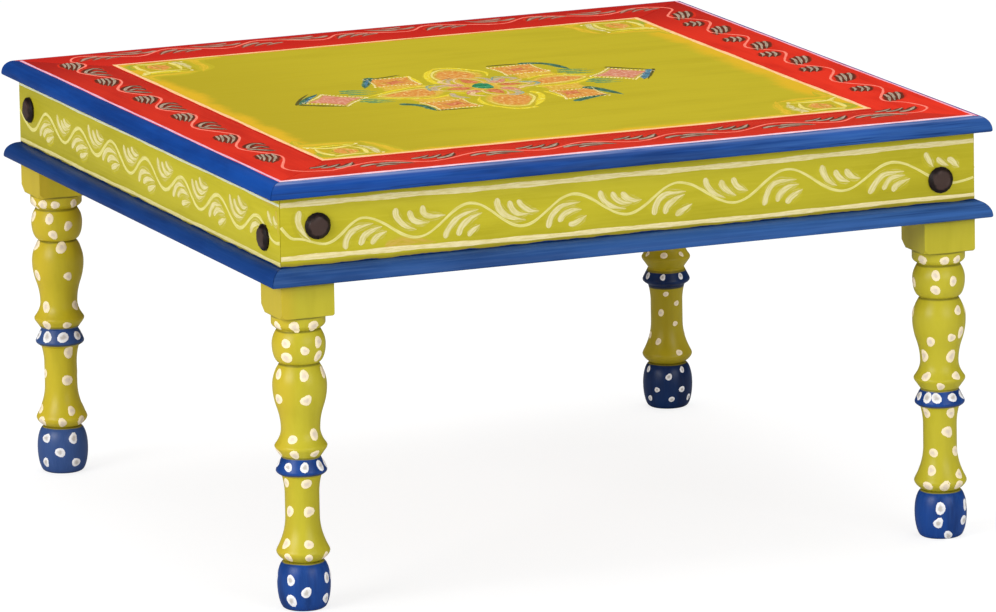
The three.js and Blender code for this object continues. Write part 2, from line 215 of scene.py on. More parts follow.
def painted_board(name, tones, along, painted_from, splash_and_shade=False, sheen_to_right=False):
    """Oil paint brushed along a board, with bare wood where the board faces the hollow inside. An apron
    board's lower edge has a darker olive band, painted shade above the moulding below, and at its very
    edge the blue of that moulding, which has caught it."""
    material, add = new_material(name)
    out, x, _, height = from_middle(add)
    cover = add("MapRange", {0: out, 1: (painted_from - 1) * MM, 2: (painted_from + 1) * MM})
    paint = coat(add, tones, along)
    # Painted sheen: the blue grows paler and greyer towards the right end
    if sheen_to_right:
        paint = blue_with_painted_sheen(add, paint, x)
    if splash_and_shade:
        uneven = add("Math", {0: brush_marks(add, along, 9, 26), 1: 4 * MM, 2: (APRON_LOW - 1.2) * MM},
                     operation="MULTIPLY_ADD")
        above = add("Math", {0: height, 1: uneven}, operation="SUBTRACT")
        # Painted shade: a darker olive band above the base moulding; then the real blue that has caught the
        # edge itself
        for tint, start, full in (("A89A2C", 3.5, 1), (BLUE[0], 0.4, -0.3)):
            shade = add("MapRange", {0: above, 1: start * MM, 2: full * MM})
            paint = add("Mix", {0: shade, 6: paint, 7: tint})
    colour = add("Mix", {0: cover, 6: wood_colour(add, along), 7: paint})
    surfaced(add, colour, brush_marks(add, along, 0.9, 70), (0.34, 0.5), 0.12)
    return material


# Where the red of the top ends and the moulding's blue starts: at the front and the left, where the
# painter followed the edge line, and at the back and the right, where the red runs to the arris
BLUE_FROM_NEAR = 288.5
BLUE_FROM_FAR = 291.6


def painted_top_rail(along):
    """Vermilion oil paint on the top, cobalt blue on the moulding, bare wood underneath. On the front and
    the back the blue carries painted shade in dark streaks on the lower part of the round, and a pale,
    patchy painted highlight along its top. The red grows darker towards the back: painted shade."""
    material, add = new_material(f"oil_paint_border_{'xyz'[along]}")
    out, x, y, height = from_middle(add)
    far_side = add("Math", {0: x if along else y, 1: 0.0}, operation="GREATER_THAN")
    edge = add("MapRange", {0: far_side, 3: BLUE_FROM_NEAR * MM, 4: BLUE_FROM_FAR * MM})
    beyond = add("Math", {0: out, 1: edge}, operation="SUBTRACT")
    blue = add("MapRange", {0: beyond, 1: -0.6 * MM, 2: 0.6 * MM})
    upper = add("MapRange", {0: height, 1: (TOP_HIGH - 2) * MM, 2: (TOP_HIGH - 1) * MM})
    painted = add("Math", {0: blue, 1: upper}, operation="MAXIMUM")
    sides = coat(add, (BLUE, BLUE_SHADED_SIDES)[along], along, 0.5 - 0.3 * along)
    if not along:
        sides = blue_with_painted_sheen(add, sides, x)
        # Painted shade in dark brush streaks low on the round, and a painted highlight, pale and patchy, high
        # on it
        for tint, start, full, marks in (
            ("0E2A5C", TOP_LOW + 7.5, TOP_LOW + 3, (1.8, 60, (0.44, 0.76))),
            ("7486B6", TOP_HIGH - 1.8, TOP_HIGH - 0.2, (3, 60, (0.3, 0.62))),
        ):
            share = add("MapRange", {0: height, 1: start * MM, 2: full * MM})
            sides = laid_over(add, sides, tint, share, brush_marks(add, 0, *marks))
    # Painted shade: the red grows darker towards the back
    shaded_back = add("MapRange", {0: y, 1: 120 * MM, 2: 300 * MM})
    red = add("Mix", {0: shaded_back, 6: coat(add, RED, along), 7: "B61A0E"})
    paint = add("Mix", {0: blue, 6: red, 7: sides})
    colour = add("Mix", {0: painted, 6: wood_colour(add, along), 7: paint})
    surfaced(add, colour, brush_marks(add, along, 0.9, 70), (0.36, 0.52), 0.1)
    return material


# Axis, direction, distance of the cream line from the middle, and the reach of the glaze inside it
GLAZED_SIDES = ((0, -1, 226.3, 14), (0, 1, 229, 17), (1, -1, 222, 9), (1, 1, 233, 5))


def painted_field():
    """Yellow-green oil paint on the panel's top, darker to the left as painted shade, with a ragged golden
    glaze inside its cream line. Outside the line the panel takes the border's red."""
    material, add = new_material("oil_paint_field")
    place = add("TexCoord")
    spot = add("SeparateXYZ", {0: place})
    upper = add("MapRange", {0: spot[2], 1: (TOP_HIGH - 2) * MM, 2: (TOP_HIGH - 1) * MM})
    # Painted shade: the yellow-green grows darker towards the left
    duller = add("MapRange", {0: spot[0], 1: -20 * MM, 2: -240 * MM})
    colour = add("Mix", {0: duller, 6: coat(add, FIELD, 0, 0.25), 7: "B4A21A"})
    coarse = add("TexNoise", {"Vector": place, "Scale": 22.0, "Detail": 3.0})
    flecks = add("TexNoise", {"Vector": place, "Scale": 160.0, "Detail": 2.0})
    ragged = add("Math", {0: flecks, 1: 0.35, 2: coarse}, operation="MULTIPLY_ADD")
    red = 0.0
    for axis, sign, edge, reach in GLAZED_SIDES:
        inwards = add("Math", {0: spot[axis], 1: -sign, 2: edge * MM}, operation="MULTIPLY_ADD")
        torn = add("Math", {0: ragged, 1: 1.6 * reach * MM, 2: inwards}, operation="MULTIPLY_ADD")
        glaze = add("MapRange", {0: torn, 1: 2.5 * reach * MM, 2: 1.5 * reach * MM})
        colour = laid_over(add, colour, "E2B21E", glaze, 0.85)
        outside = add("MapRange", {0: inwards, 1: 0.3 * MM, 2: -0.3 * MM})
        red = add("Math", {0: outside, 1: red}, operation="MAXIMUM")
    colour = add("Mix", {0: red, 6: colour, 7: RED[0]})
    whole = add("Mix", {0: upper, 6: wood_colour(add, 0), 7: colour})
    surfaced(add, whole, brush_marks(add, 0, 1.1, 80), (0.38, 0.54), 0.08)
    return material


def turned_paint(name, ring_paint, tones, blues):
    """Oil paint on a turned leg, with a blue foot and ring; painted shade, with some dirty paint, in its
    grooves and at the edges of the blue; painted shade at the top of the block; and painted light, a
    golden tint, on the outer left side of the left legs.
    """
    material, add = new_material(f"oil_paint_leg_{name}")
    place = add("TexCoord")
    x, _, z = add("SeparateXYZ", {0: place})
    wobble = add("TexNoise", {"Vector": place, "Scale": 45.0, "Detail": 1.0})
    height = add("Math", {0: wobble, 1: 1.6 * MM, 2: z}, operation="MULTIPLY_ADD")

    def passing(start, full, value=height):
        return add("MapRange", {0: value, 1: start * MM, 2: full * MM})

    # Painted light: a golden tint on the outer left side of the left legs, where the lamp falls
    lit_left = passing(-LEG_AXIS - 6, -LEG_AXIS - 19, x)
    green = laid_over(add, coat(add, tones, 2, 0.12), "CCB028", lit_left, 0.6)
    foot = passing(FOOT_PAINT + 0.4, FOOT_PAINT - 0.4)
    over = passing(ring_paint[0] - 0.4, ring_paint[0] + 0.4)
    under = passing(ring_paint[1] + 0.4, ring_paint[1] - 0.4)
    both = add("Math", {0: foot, 1: add("Math", {0: over, 1: under})}, operation="MAXIMUM")
    colour = add("Mix", {0: both, 6: green, 7: coat(add, blues, 2, 0.3)})
    # Painted shade, with some dirty paint: a dark line at each groove and each edge of the blue
    for groove in (FOOT_PAINT, *ring_paint, *GROOVES):
        off = add("Math", {0: height, 1: (groove + 0.8) * MM}, operation="SUBTRACT")
        away = add("Math", {0: off}, operation="ABSOLUTE")
        colour = laid_over(add, colour, "4C4A1C", passing(1.3, 0.2, away), 0.6)
    # Painted shade: a darker band at the top of the block, under the base
    colour = laid_over(add, colour, "5E5A20", passing(BASE_LOW - 3, BASE_LOW - 1), 0.6)
    inside = passing(BASE_LOW - 0.3, BASE_LOW + 0.3, z)
    whole = add("Mix", {0: inside, 6: colour, 7: wood_colour(add, 2)})
    surfaced(add, whole, brush_marks(add, 2, 1.2, 30), (0.28, 0.44), 0.08, SOFT_GLOSS)
    return material


def hammered_iron():
    """Forged iron with a dark brown patina: near black on the rim, worn browner in the middle."""
    material, add = new_material("forged_iron_patina")
    blotch = add("TexNoise", {"Vector": add("TexCoord"), "Scale": 220.0, "Detail": 3.0})
    run = add("Attribute", attribute_name="run")
    worn = add("Math", {0: blotch, 1: 0.5, 2: run}, operation="MULTIPLY_ADD")
    colour = add("Mix", {0: add("MapRange", {0: worn, 1: 0.85, 2: 1.1}), 6: "42302A", 7: "1A0F0E"})
    surfaced(add, colour, blotch, (0.3, 0.6), 0.3, IRON_SHINE)
    return material


def zinc_steel():
    """Dull zinc-plated steel of screws and nails: grey and blotchy."""
    material, add = new_material("zinc_plated_steel")
    blotch = add("TexNoise", {"Vector": add("TexCoord"), "Scale": 500.0, "Detail": 3.0})
    surfaced(add, add("Mix", {0: blotch, 6: "77746E", 7: "A5A29B"}), blotch, (0.35, 0.6), 0, METAL)
    return material


def brushed_on(name, ground, paint, cover=0.75, tail=0.35, soft=0.7, most=1.0, flecks=None):
    """A stroke of paint over its ground: bristle streaks run along the stroke, its sides are soft,
    and it thins at its tail. The ground shows through where the paint is thin. Thick paint may
    carry flecks of two other colours."""
    material, add = new_material(name)
    tones, along = ground
    drawn = add("Mapping", {"Vector": add("UVMap", uv_map="stroke"), "Scale": (0.09, 2.2, 1)})
    streak = add("TexNoise", {"Vector": drawn, "Scale": 1.0, "Detail": 3.0, "Roughness": 0.65})
    thin = add("Math", {0: add("Attribute", attribute_name="run"), 1: -tail, 2: cover},
               operation="MULTIPLY_ADD")
    round_off = add("Math", {0: add("Attribute", attribute_name="rim"), 1: 2.2}, operation="POWER")
    edge = add("Math", {0: round_off, 1: -soft, 2: thin}, operation="MULTIPLY_ADD")
    level = add("Math", {0: streak, 1: edge}, operation="ADD")
    covered = add("MapRange", {0: level, 1: 0.68, 2: 1.12, 4: most})
    over = add("Mix", {0: add("MapRange", {0: streak, 1: 0.36, 2: 0.62}), 6: paint[0], 7: paint[1]})
    if flecks:
        drawn_out = add("Mapping", {"Vector": add("TexCoord"), "Scale": (420, 190, 420)})
        speck = add("TexNoise", {"Vector": drawn_out, "Scale": 1.0, "Detail": 2.0})
        for fleck, start, full in zip(flecks, (0.54, 0.46), (0.7, 0.3)):
            over = add("Mix", {0: add("MapRange", {0: speck, 1: start, 2: full}), 6: over, 7: fleck})
    colour = add("Mix", {0: covered, 6: coat(add, tones, along), 7: over})
    surfaced(add, colour, streak, (0.36, 0.52), 0.12)
    return material


def dabbed_on(name, centre, rim):
    """A dab of thick paint: paler round its rim, and duller where it has sunk in the middle."""
    material, add = new_material(name)
    blotch = add("TexNoise", {"Vector": add("TexCoord"), "Scale": 420.0, "Detail": 2.0})
    run = add("Attribute", attribute_name="run")
    level = add("Math", {0: blotch, 1: 0.7, 2: run}, operation="MULTIPLY_ADD")
    colour = add("Mix", {0: add("MapRange", {0: level, 1: 0.5, 2: 1.05}), 6: centre, 7: rim})
    surfaced(add, colour, blotch, (0.34, 0.5), 0.1)
    return material


def in_scene(name, shape):
    """A new object in the scene, from a shape that is then done with."""
    mesh = bpy.data.meshes.new(name)
    shape.to_mesh(mesh)
    shape.free()
    item = bpy.data.objects.new(name, mesh)
    bpy.context.scene.collection.objects.link(item)
    return item


def finished(name, shape, material, replaces=(), sharp_from=35):
    """Turns a shape in millimetres into a finished piece that rides on the table."""
    bmesh.ops.recalc_face_normals(shape, faces=shape.faces)
    bmesh.ops.scale(shape, vec=(MM, MM, MM), verts=shape.verts)
    piece = in_scene(name, shape)
    piece.data.shade_smooth()
    piece.data.set_sharp_from_angle(angle=math.radians(sharp_from))
    piece.data.materials.append(material)
    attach(piece, "root")
    if replaces:
        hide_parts(*replaces)


def quarter_turns(count):
    """The turn about the table's upright axis that brings the front to a side, or a corner to another."""
    return Matrix.Rotation(count * QUARTER_TURN, 3, "Z")


def turn_shape(shape, count):
    """Turns a whole shape from the front to another side."""
    bmesh.ops.rotate(shape, verts=shape.verts, cent=(0, 0, 0), matrix=quarter_turns(count))


def add_box(shape, low, high):
    """Adds a box between two corners."""
    low, high = Vector(low), Vector(high)
    made = bmesh.ops.create_cube(shape, size=1)["verts"]
    bmesh.ops.scale(shape, verts=made, vec=high - low)
    bmesh.ops.translate(shape, verts=made, vec=(high + low) / 2)


def ovolo(width, low, high):
    """The rounded outer edge of the top and the base: a small round, then a quarter of an ellipse."""
    points = []
    for step in range(LIP_STEPS + 1):
        angle = step / LIP_STEPS * QUARTER_TURN
        points.append((LIP * (1 - math.sin(angle)), low + LIP * (1 - math.cos(angle))))
    for step in range(1, MOULDING_STEPS + 1):
        angle = step / MOULDING_STEPS * QUARTER_TURN
        points.append((width * (1 - math.cos(angle)), low + LIP + (high - low - LIP) * math.sin(angle)))
    return points


def mitred_bar(section, side):
    """A bar of one side: a section drawn inwards from the edge and up, run out to mitred ends."""
    shape = bmesh.new()
    face = shape.faces.new([shape.verts.new((0, inwards - HALF, height)) for inwards, height in section])
    run = bmesh.ops.extrude_face_region(shape, geom=[face])
    far = {item for item in run["geom"] if isinstance(item, bmesh.types.BMVert)}
    for vert in shape.verts:
        reach = -vert.co.y - MITRE_GAP / math.sqrt(2)
        vert.co.x = reach if vert in far else -reach
    bmesh.ops.recalc_face_normals(shape, faces=shape.faces)
    edges = [edge for edge in shape.edges if edge.calc_face_angle(0) > math.radians(60)]
    bmesh.ops.bevel(shape, geom=edges, offset=ARRIS_ROUND, offset_type="OFFSET", affect="EDGES",
                    segments=2, profile=0.5, material=-1, clamp_overlap=True)
    turn_shape(shape, side)
    return shape


def make_boards():
    """The mitred boards of each side: the top's rail, the apron and the base's rail."""
    near, far, inner = HALF - APRON_FACE, HALF - APRON_BACK, HALF - RAIL_INNER
    top = ovolo(TOP_MOULDING, TOP_LOW, TOP_HIGH) + [(inner, TOP_HIGH), (inner, TOP_LOW)]
    apron = [(near, APRON_LOW), (near, APRON_HIGH), (far, APRON_HIGH), (far, APRON_LOW)]
    base = ovolo(BASE_MOULDING, BASE_LOW, BASE_HIGH) + [(far, BASE_HIGH), (far, BASE_LOW)]
    for side, name in enumerate(SIDES):
        for board, node, section, paints, slot in (
            ("top_board", "top_rail", top, TOP_PAINT, "border_paint"),
            ("apron_board", "apron", apron, APRON_PAINT, "apron_paint"),
            ("base_board", "base_rail", base, BASE_PAINT, "moulding_paint"),
        ):
            finished(f"{board}_{name}", mitred_bar(section, side), paints[side % 2], [f"{node}_{name}"])


# Turned part of a leg: each stretch's end radius and height, with how it bends to get there
TURNING_STEPS = 8
TURNING = (
    ("ellipse_out", 20.5, 19.9),
    ("ellipse_in", 14.2, 37.5),
    ("full", 20.7, 45.5),
    ("hollow", 13.2, 71.7),
    ("straight", 13.2, 89.4),
    ("hollow", 15.2, 103.5),
    ("straight", 20.4, 107.0),
    ("straight", 14.8, 118.0),
    ("straight", 20.9, 126.5),
    ("hollow", 15.0, 140.0),
    ("hollow", 17.95, 156.75),
    ("full", 20.9, 173.5),
    ("full", 14.8, 191.5),
    ("ellipse_out", 20.6, 205.5),
    ("full", 16.3, 218.0),
    ("full", 20.8, 222.6),
    ("straight", 20.8, 229.0),
)
FOOT_FLAT = 14.5
FOOT_PAINT = 37.5
# Each leg's name, the heights between which its ring is blue, its greens and its blues. The back right
# # leg's darker greens and blues are painted shade, and the back left leg's lighter ones painted light
LEG_COATS = (
    ("front_left", (105.6, 118.6), YELLOW_GREEN, BLUE),
    ("front_right", (105.6, 118.2), YELLOW_GREEN, BLUE),
    ("back_right", (101.8, 115.8), ("A69414", "B09E1A", "B8A622"), ("0A2048", "0E2C5C", "183A70")),
    ("back_left", (106.4, 120.6), ("BAAA20", "C8B624", "D0BE2C"), ("2A4880", "365288", "46609A")),
)
GROOVES = (190.7, 217.2, 228.4)


def bent(start, corner, end, t):
    """A place along the curve that leaves for a corner and bends off to its end."""
    return (1 - t) ** 2 * start + 2 * t * (1 - t) * corner + t * t * end


def turning_outline():
    """Points of radius and height up the turned part of a leg."""
    radius, height = FOOT_FLAT, 0.0
    outline = [Vector((radius, height))]
    for bend, to_radius, to_height in TURNING:
        steps = 1 if bend == "straight" else TURNING_STEPS
        for step in range(1, steps + 1):
            t = step / steps
            sine, cosine = math.sin(t * QUARTER_TURN), math.cos(t * QUARTER_TURN)
            if bend == "ellipse_out":
                point = (radius + (to_radius - radius) * sine, to_height + (height - to_height) * cosine)
            elif bend == "ellipse_in":
                point = (to_radius + (radius - to_radius) * cosine, height + (to_height - height) * sine)
            else:
                middle = (min if bend == "hollow" else max)(radius, to_radius)
                point = (bent(radius, middle, to_radius, t), height + (to_height - height) * t)
            outline.append(Vector(point))
        radius, height = to_radius, to_height
    return outline


# How far a ridge's rounding reaches, up to what angle an edge is a ridge, and from what height none is
RIDGE_ROUND = 2.6
RIDGE_ANGLE = math.radians(155)
NO_RIDGE_FROM = TURNING[-2][2] - 1


def with_round_ridges(outline):
    """Rounds the outline where it juts out in a sharp ridge."""
    rounded = [outline[0]]
    for before, corner, after in zip(outline, outline[1:], outline[2:]):
        back, ahead = before - corner, after - corner
        juts = ahead.x * back.y - ahead.y * back.x > 0
        if not juts or back.angle(ahead) > RIDGE_ANGLE or corner.y > NO_RIDGE_FROM:
            rounded.append(corner)
            continue
        start, end = (corner + way.normalized() * min(RIDGE_ROUND, way.length * 0.9) for way in (back, ahead))
        rounded += [bent(start, corner, end, t) for t in (0, 0.25, 0.5, 0.75, 1)]
    return rounded + [outline[-1]]


OUTLINE = with_round_ridges(turning_outline())
TURNED_HIGH = OUTLINE[-1][1]
LEG_SEGMENTS = 64
# The cone that nips the block: its least radius, how fast it rises, and how far it stands aside
BLOCK_NIP = 26.7
BLOCK_NIP_RISE = 3.5
BLOCK_NIP_SHIFT = (1.2, -1.2, 0)
BLOCK_NIP_SEGMENTS = 96
BLOCK_ROUND = 0.7
# How far the cone runs past the block, up and down and then aside
NIP_OVERRUN = 1
NIP_ASIDE = 3
# How far the turning reaches up into the block, and the post down into it
TURNING_INTO_BLOCK = 5
POST_INTO_BLOCK = 3


def spun(outline, segments):
    """A solid turned about Z from an outline that starts and ends on the axis."""
    shape = bmesh.new()
    verts = [shape.verts.new((radius, 0, height)) for radius, height in outline]
    edges = [shape.edges.new(pair) for pair in zip(verts, verts[1:])]
    bmesh.ops.spin(shape, geom=verts + edges, cent=(0, 0, 0), axis=(0, 0, 1), dvec=(0, 0, 0),
                   angle=2 * math.pi, steps=segments, use_merge=True, use_duplicate=False)
    bmesh.ops.remove_doubles(shape, verts=shape.verts, dist=0.0005)
    bmesh.ops.recalc_face_normals(shape, faces=shape.faces)
    return shape


def block_mesh():
    """The square block, whose lower corners the lathe has nipped to the shape of a cone."""
    half = LEG_STOCK / 2
    block = bmesh.new()
    add_box(block, (-half, -half, TURNED_HIGH), (half, half, BASE_LOW - GLUE_GAP))
    reach = half * math.sqrt(2)
    wide = reach + NIP_ASIDE
    low, high = TURNED_HIGH - NIP_OVERRUN, BASE_LOW + NIP_OVERRUN
    nip = spun([(0, low), (BLOCK_NIP, low), (reach, TURNED_HIGH + BLOCK_NIP_RISE),
                (wide, TURNED_HIGH + 2 * BLOCK_NIP_RISE), (wide, high), (0, high)], BLOCK_NIP_SEGMENTS)
    bmesh.ops.translate(nip, verts=nip.verts, vec=BLOCK_NIP_SHIFT)
    block, nip = in_scene("block", block), in_scene("nip", nip)
    cut = block.modifiers.new("nip", "BOOLEAN")
    cut.operation = "INTERSECT"
    cut.solver = "EXACT"
    cut.object = nip
    soften = block.modifiers.new("soften", "BEVEL")
    soften.width = BLOCK_ROUND
    soften.segments = 3
    soften.limit_method = "ANGLE"
    soften.angle_limit = math.radians(50)
    made = bpy.data.meshes.new_from_object(block.evaluated_get(bpy.context.evaluated_depsgraph_get()))
    for item in (block, nip):
        bpy.data.objects.remove(item)
    return made


def leg_shape(number, block):
    """One leg: the turning, its block, and the post that stands inside the apron's corner."""
    inside = TURNED_HIGH + TURNING_INTO_BLOCK
    shape = spun([(0, 0), *OUTLINE, (OUTLINE[-1].x, inside), (0, inside)], LEG_SEGMENTS)
    # The nip is turned back, so that it faces the same way in all four legs
    block.transform(quarter_turns(-number).to_4x4())
    shape.from_mesh(block)
    block.transform(quarter_turns(number).to_4x4())
    near, far = APRON_BACK - LEG_AXIS + GLUE_GAP, LEG_STOCK / 2
    add_box(shape, (near, near, BASE_LOW - POST_INTO_BLOCK), (far, far, APRON_HIGH))
    place = quarter_turns(number).to_4x4() @ Matrix.Translation((-LEG_AXIS, -LEG_AXIS, 0))
    bmesh.ops.transform(shape, matrix=place, verts=shape.verts)
    return shape


def make_legs():
    """The four legs, whose blocks are copies of one."""
    block = block_mesh()
    for number, name in enumerate(CORNERS):
        finished(f"turned_leg_{name}", leg_shape(number, block), LEG_PAINT[number],
                 [f"leg_{name}"], sharp_from=40)
    bpy.data.meshes.remove(block)


# Rings of a stud's head, as shares of its radius and its rise
STUD_PROFILE = ((1.0, 0.0), (1.0, 0.34), (0.95, 0.5), (0.8, 0.76), (0.72, 0.92), (0.62, 1.0), (0.34, 0.97))
STUD_SIDES = 16
STUD_SEED = 11
# How far the hammer moved a head's points: in and out and up and down, as shares of its radius and
# rise, and its peak aside. The lowest rings, up to a share of the rise, keep their height, and all
# rings stay a little under the peak
STUD_DENT = 0.02
STUD_WAVE = 0.05
STUD_PEAK_ASIDE = 1
STUD_EVEN_TO = 0.4
STUD_RINGS_UP_TO = 0.97


def make_studs():
    """Forged studs: a bevelled rim round a flatter hammered middle, each a little different."""
    chance = random.Random(STUD_SEED)
    for side, side_name in enumerate(SIDES):
        for end in (CORNERS[side], CORNERS[(side + 1) % 4]):
            end_name = next(word for word in end.split("_") if word != side_name)
            node = f"stud_{side_name}_{end_name}"
            low, high = node_box(node)
            centre = (low + high) / 2
            radius = (high.z - low.z) / 2
            rise = max(abs(value) for value in (low.x, low.y, high.x, high.y)) - APRON_FACE
            shape = bmesh.new()
            worn = shape.verts.layers.float.new("run")
            rings = []
            for share, height in STUD_PROFILE:
                ring = bmesh.ops.create_circle(shape, segments=STUD_SIDES, radius=radius * share)["verts"]
                for vert in ring:
                    vert[worn] = share
                    dent = 1 + chance.uniform(-STUD_DENT, STUD_DENT)
                    vert.co.x *= dent
                    vert.co.y *= dent
                    wave = chance.uniform(-STUD_WAVE, STUD_WAVE) if height > STUD_EVEN_TO else 0
                    vert.co.z = rise * (height + wave) * STUD_RINGS_UP_TO
                rings.append(ring)
            for lower, upper in zip(rings, rings[1:]):
                edges = [edge for edge in shape.edges
                         if all(v in lower for v in edge.verts) or all(v in upper for v in edge.verts)]
                bmesh.ops.bridge_loops(shape, edges=edges)
            bmesh.ops.contextual_create(shape, geom=rings[0])
            aside = [chance.uniform(-STUD_PEAK_ASIDE, STUD_PEAK_ASIDE) for _ in range(2)]
            peak = shape.verts.new((*aside, rise))
            for k in range(STUD_SIDES):
                shape.faces.new((rings[-1][k], rings[-1][(k + 1) % STUD_SIDES], peak))
            along = (quarter_turns(-side) @ centre).x
            for vert in shape.verts:
                vert.co = Vector((vert.co.x + along, -vert.co.z - APRON_FACE, vert.co.y + centre.z))
            turn_shape(shape, side)
            finished(f"forged_{node}", shape, IRON, [node], sharp_from=22)


def curve_through(points, steps):
    """Points on a smooth curve through the given ones."""
    path = []
    points = [Vector(point) for point in points]
    for i, (b, c) in enumerate(zip(points, points[1:])):
        a = points[i - 1] if i > 0 else 2 * b - c
        d = points[i + 2] if i + 2 < len(points) else 2 * c - b
        for step in range(steps):
            t = step / steps
            path.append(((2 * b) + (c - a) * t + (2 * a - 5 * b + 4 * c - d) * t ** 2
                         + (3 * b - a - 3 * c + d) * t ** 3) / 2)
    return path + [points[-1]]


def waving(bends):
    """Points of a wave through its crests and troughs, round in each bend and cut off at the ends."""
    wave = []
    last = len(bends) - 2
    for k, ((x0, z0), (x1, z1)) in enumerate(zip(bends, bends[1:])):
        for t in (0, 0.2, 0.4, 0.6, 0.8):
            share = (1 - math.cos(math.pi * t)) / 2
            if k == 0:
                share = math.sin(t * QUARTER_TURN)
            elif k == last:
                share = 1 - math.cos(t * QUARTER_TURN)
            wave.append((x0 + (x1 - x0) * t, z0 + (z1 - z0) * share))
    return wave + [bends[-1]]


@functools.cache
def closed_pattern(kind, first, second):
    """A small closed shape to copy, as its points and its faces: a sheet with an underside at -1, or
    a dome."""
    shape = bmesh.new()
    if kind == "sheet":
        bmesh.ops.create_grid(shape, x_segments=first, y_segments=second, size=1)
        for item in bmesh.ops.extrude_face_region(shape, geom=list(shape.faces))["geom"]:
            if isinstance(item, bmesh.types.BMVert):
                item.co.z = -1
    else:
        bmesh.ops.create_uvsphere(shape, u_segments=first, v_segments=second, radius=1)
        below = [vert for vert in shape.verts if vert.co.z < -0.01]
        bmesh.ops.delete(shape, geom=below, context="VERTS")
        bmesh.ops.contextual_create(shape, geom=[edge for edge in shape.edges if edge.is_boundary])
    shape.verts.index_update()
    points = [vert.co.copy() for vert in shape.verts]
    faces = [[vert.index for vert in face.verts] for face in shape.faces]
    shape.free()
    return points, faces


def middle_of(outline):
    """The mean of an outline's points."""
    return sum((Vector(point) for point in outline), Vector((0, 0))) / len(outline)


class Strokes:
    """Strokes of one paint on one surface. Each point is put in place by a function of two
    distances along the surface and the height above it. Each group of strokes has its own seed."""

    def __init__(self, place, seed):
        self.shape = bmesh.new()
        self.uv = self.shape.loops.layers.uv.new("stroke")
        self.run = self.shape.verts.layers.float.new("run")
        self.rim = self.shape.verts.layers.float.new("rim")
        self.place = place
        self.chance = random.Random(seed)

    def add_copy(self, pattern, put):
        """Adds a copy of a pattern. For each of its points, put gives the place, its distances along
        and across the stroke, how far along the stroke it is, and how near to the rim."""
        points, faces = pattern
        verts, marks = [], []
        for point in points:
            spot, mark, run, rim = put(point)
            verts.append(self.shape.verts.new(spot))
            verts[-1][self.run] = run
            verts[-1][self.rim] = rim
            marks.append(mark)
        for corners in faces:
            face = self.shape.faces.new([verts[k] for k in corners])
            for loop, k in zip(face.loops, corners):
                loop[self.uv].uv = marks[k]

    def stroke(self, points, width, rise=PAINT_RISE, tail=0.6, wander=0.0, spacing=2.2, even=False,
               end_width=None):
        """One stroke along a smooth curve. A brush stroke starts round and narrows to its tail; an
        even one keeps its width, as a line does, or changes it steadily to the end width."""
        path = curve_through(points, 5)
        lengths = [0.0]
        for a, b in zip(path, path[1:]):
            lengths.append(lengths[-1] + (b - a).length)
        whole = lengths[-1]
        columns = max(7, round(whole / spacing))
        offset = self.chance.uniform(0, 900)
        phase = [self.chance.uniform(0, 6.3) for _ in range(3)]

        def put(point):
            share = (point.x + 1) / 2
            gone = whole * (share if even else share ** 1.4)
            k = min(bisect.bisect_right(lengths, gone), len(path) - 1)
            step = path[k] - path[k - 1]
            middle = path[k - 1] + step * ((gone - lengths[k - 1]) / (lengths[k] - lengths[k - 1]))
            normal = Vector((-step.y, step.x)).normalized()
            half, shift = width / 2, 0.0
            if end_width:
                half += (end_width - width) / 2 * gone / whole
            if not even:
                start = max(0.0, 1 - gone / half)
                end = max(0.0, (gone / whole - (1 - tail)) / tail)
                half *= max(0.3, math.sqrt(1 - start ** 2)) * max(0.08, 1 - end ** 1.7)
            if wander:
                half *= 1 + 0.14 * math.sin(gone / 9 + phase[0])
                shift = wander * (math.sin(gone / 31 + phase[1]) + 0.5 * math.sin(gone / 13 + phase[2]))
            spot = middle + normal * (point.y * half + shift)
            height = rise * (1 - 0.8 * point.y ** 2) if point.z == 0 else -PAINT_ROOT
            mark = (gone + offset, point.y * max(1, half / 2.5))
            return self.place(spot.x, spot.y, height), mark, 0 if even else gone / whole, abs(point.y)

        self.add_copy(closed_pattern("sheet", columns, 4), put)

    def patch(self, outline, rise=PAINT_RISE):
        """A flat patch of paint inside a closed outline, thinner at its rim."""
        middle = middle_of(outline)
        levels = ((1, 1, -PAINT_ROOT), (1, 1, rise * 0.3), (0.82, 0.7, rise), (0.5, 0, rise))
        rings = []
        for share, rim, height in levels:
            rings.append([])
            for point in outline:
                x, y = middle.lerp(Vector(point), share)
                rings[-1].append(self.shape.verts.new(self.place(x, y, height)))
                rings[-1][-1][self.rim] = rim
        count = len(outline)
        faces = [rings[0], rings[-1]]
        for lower, upper in zip(rings, rings[1:]):
            for k in range(count):
                after = (k + 1) % count
                faces.append([lower[k], lower[after], upper[after], upper[k]])
        for corners in faces:
            for loop in self.shape.faces.new(corners).loops:
                loop[self.uv].uv = (loop.vert.co.x, loop.vert.co.y / 5)

    def dab(self, x, y, radius, rise=PAINT_RISE, stretch=1.0, segments=12, rings=6, uneven=0.07):
        """A round dab of thick paint, a little uneven."""
        phase = self.chance.uniform(0, 6.3)
        lean = self.chance.uniform(-uneven, uneven)

        def put(point):
            angle = math.atan2(point.y, point.x)
            out = math.hypot(point.x, point.y)
            reach = radius * out * (1 + uneven * math.sin(2 * angle + phase) + lean * math.cos(3 * angle))
            height = (rise + PAINT_ROOT) * point.z - PAINT_ROOT
            spot = self.place(x + reach * math.cos(angle), y + stretch * reach * math.sin(angle), height)
            return spot, (x + point.x, point.y), out, 0

        self.add_copy(closed_pattern("dome", segments, rings), put)

    def finish(self, name, material, slot):
        finished(name, self.shape, material, sharp_from=60)


def on_side(side):
    """Places a point on a side's outer face: along it, its height, and how far it stands proud."""
    turn = quarter_turns(side)
    return lambda along, height, rise: turn @ Vector((along, -APRON_FACE - rise, height))


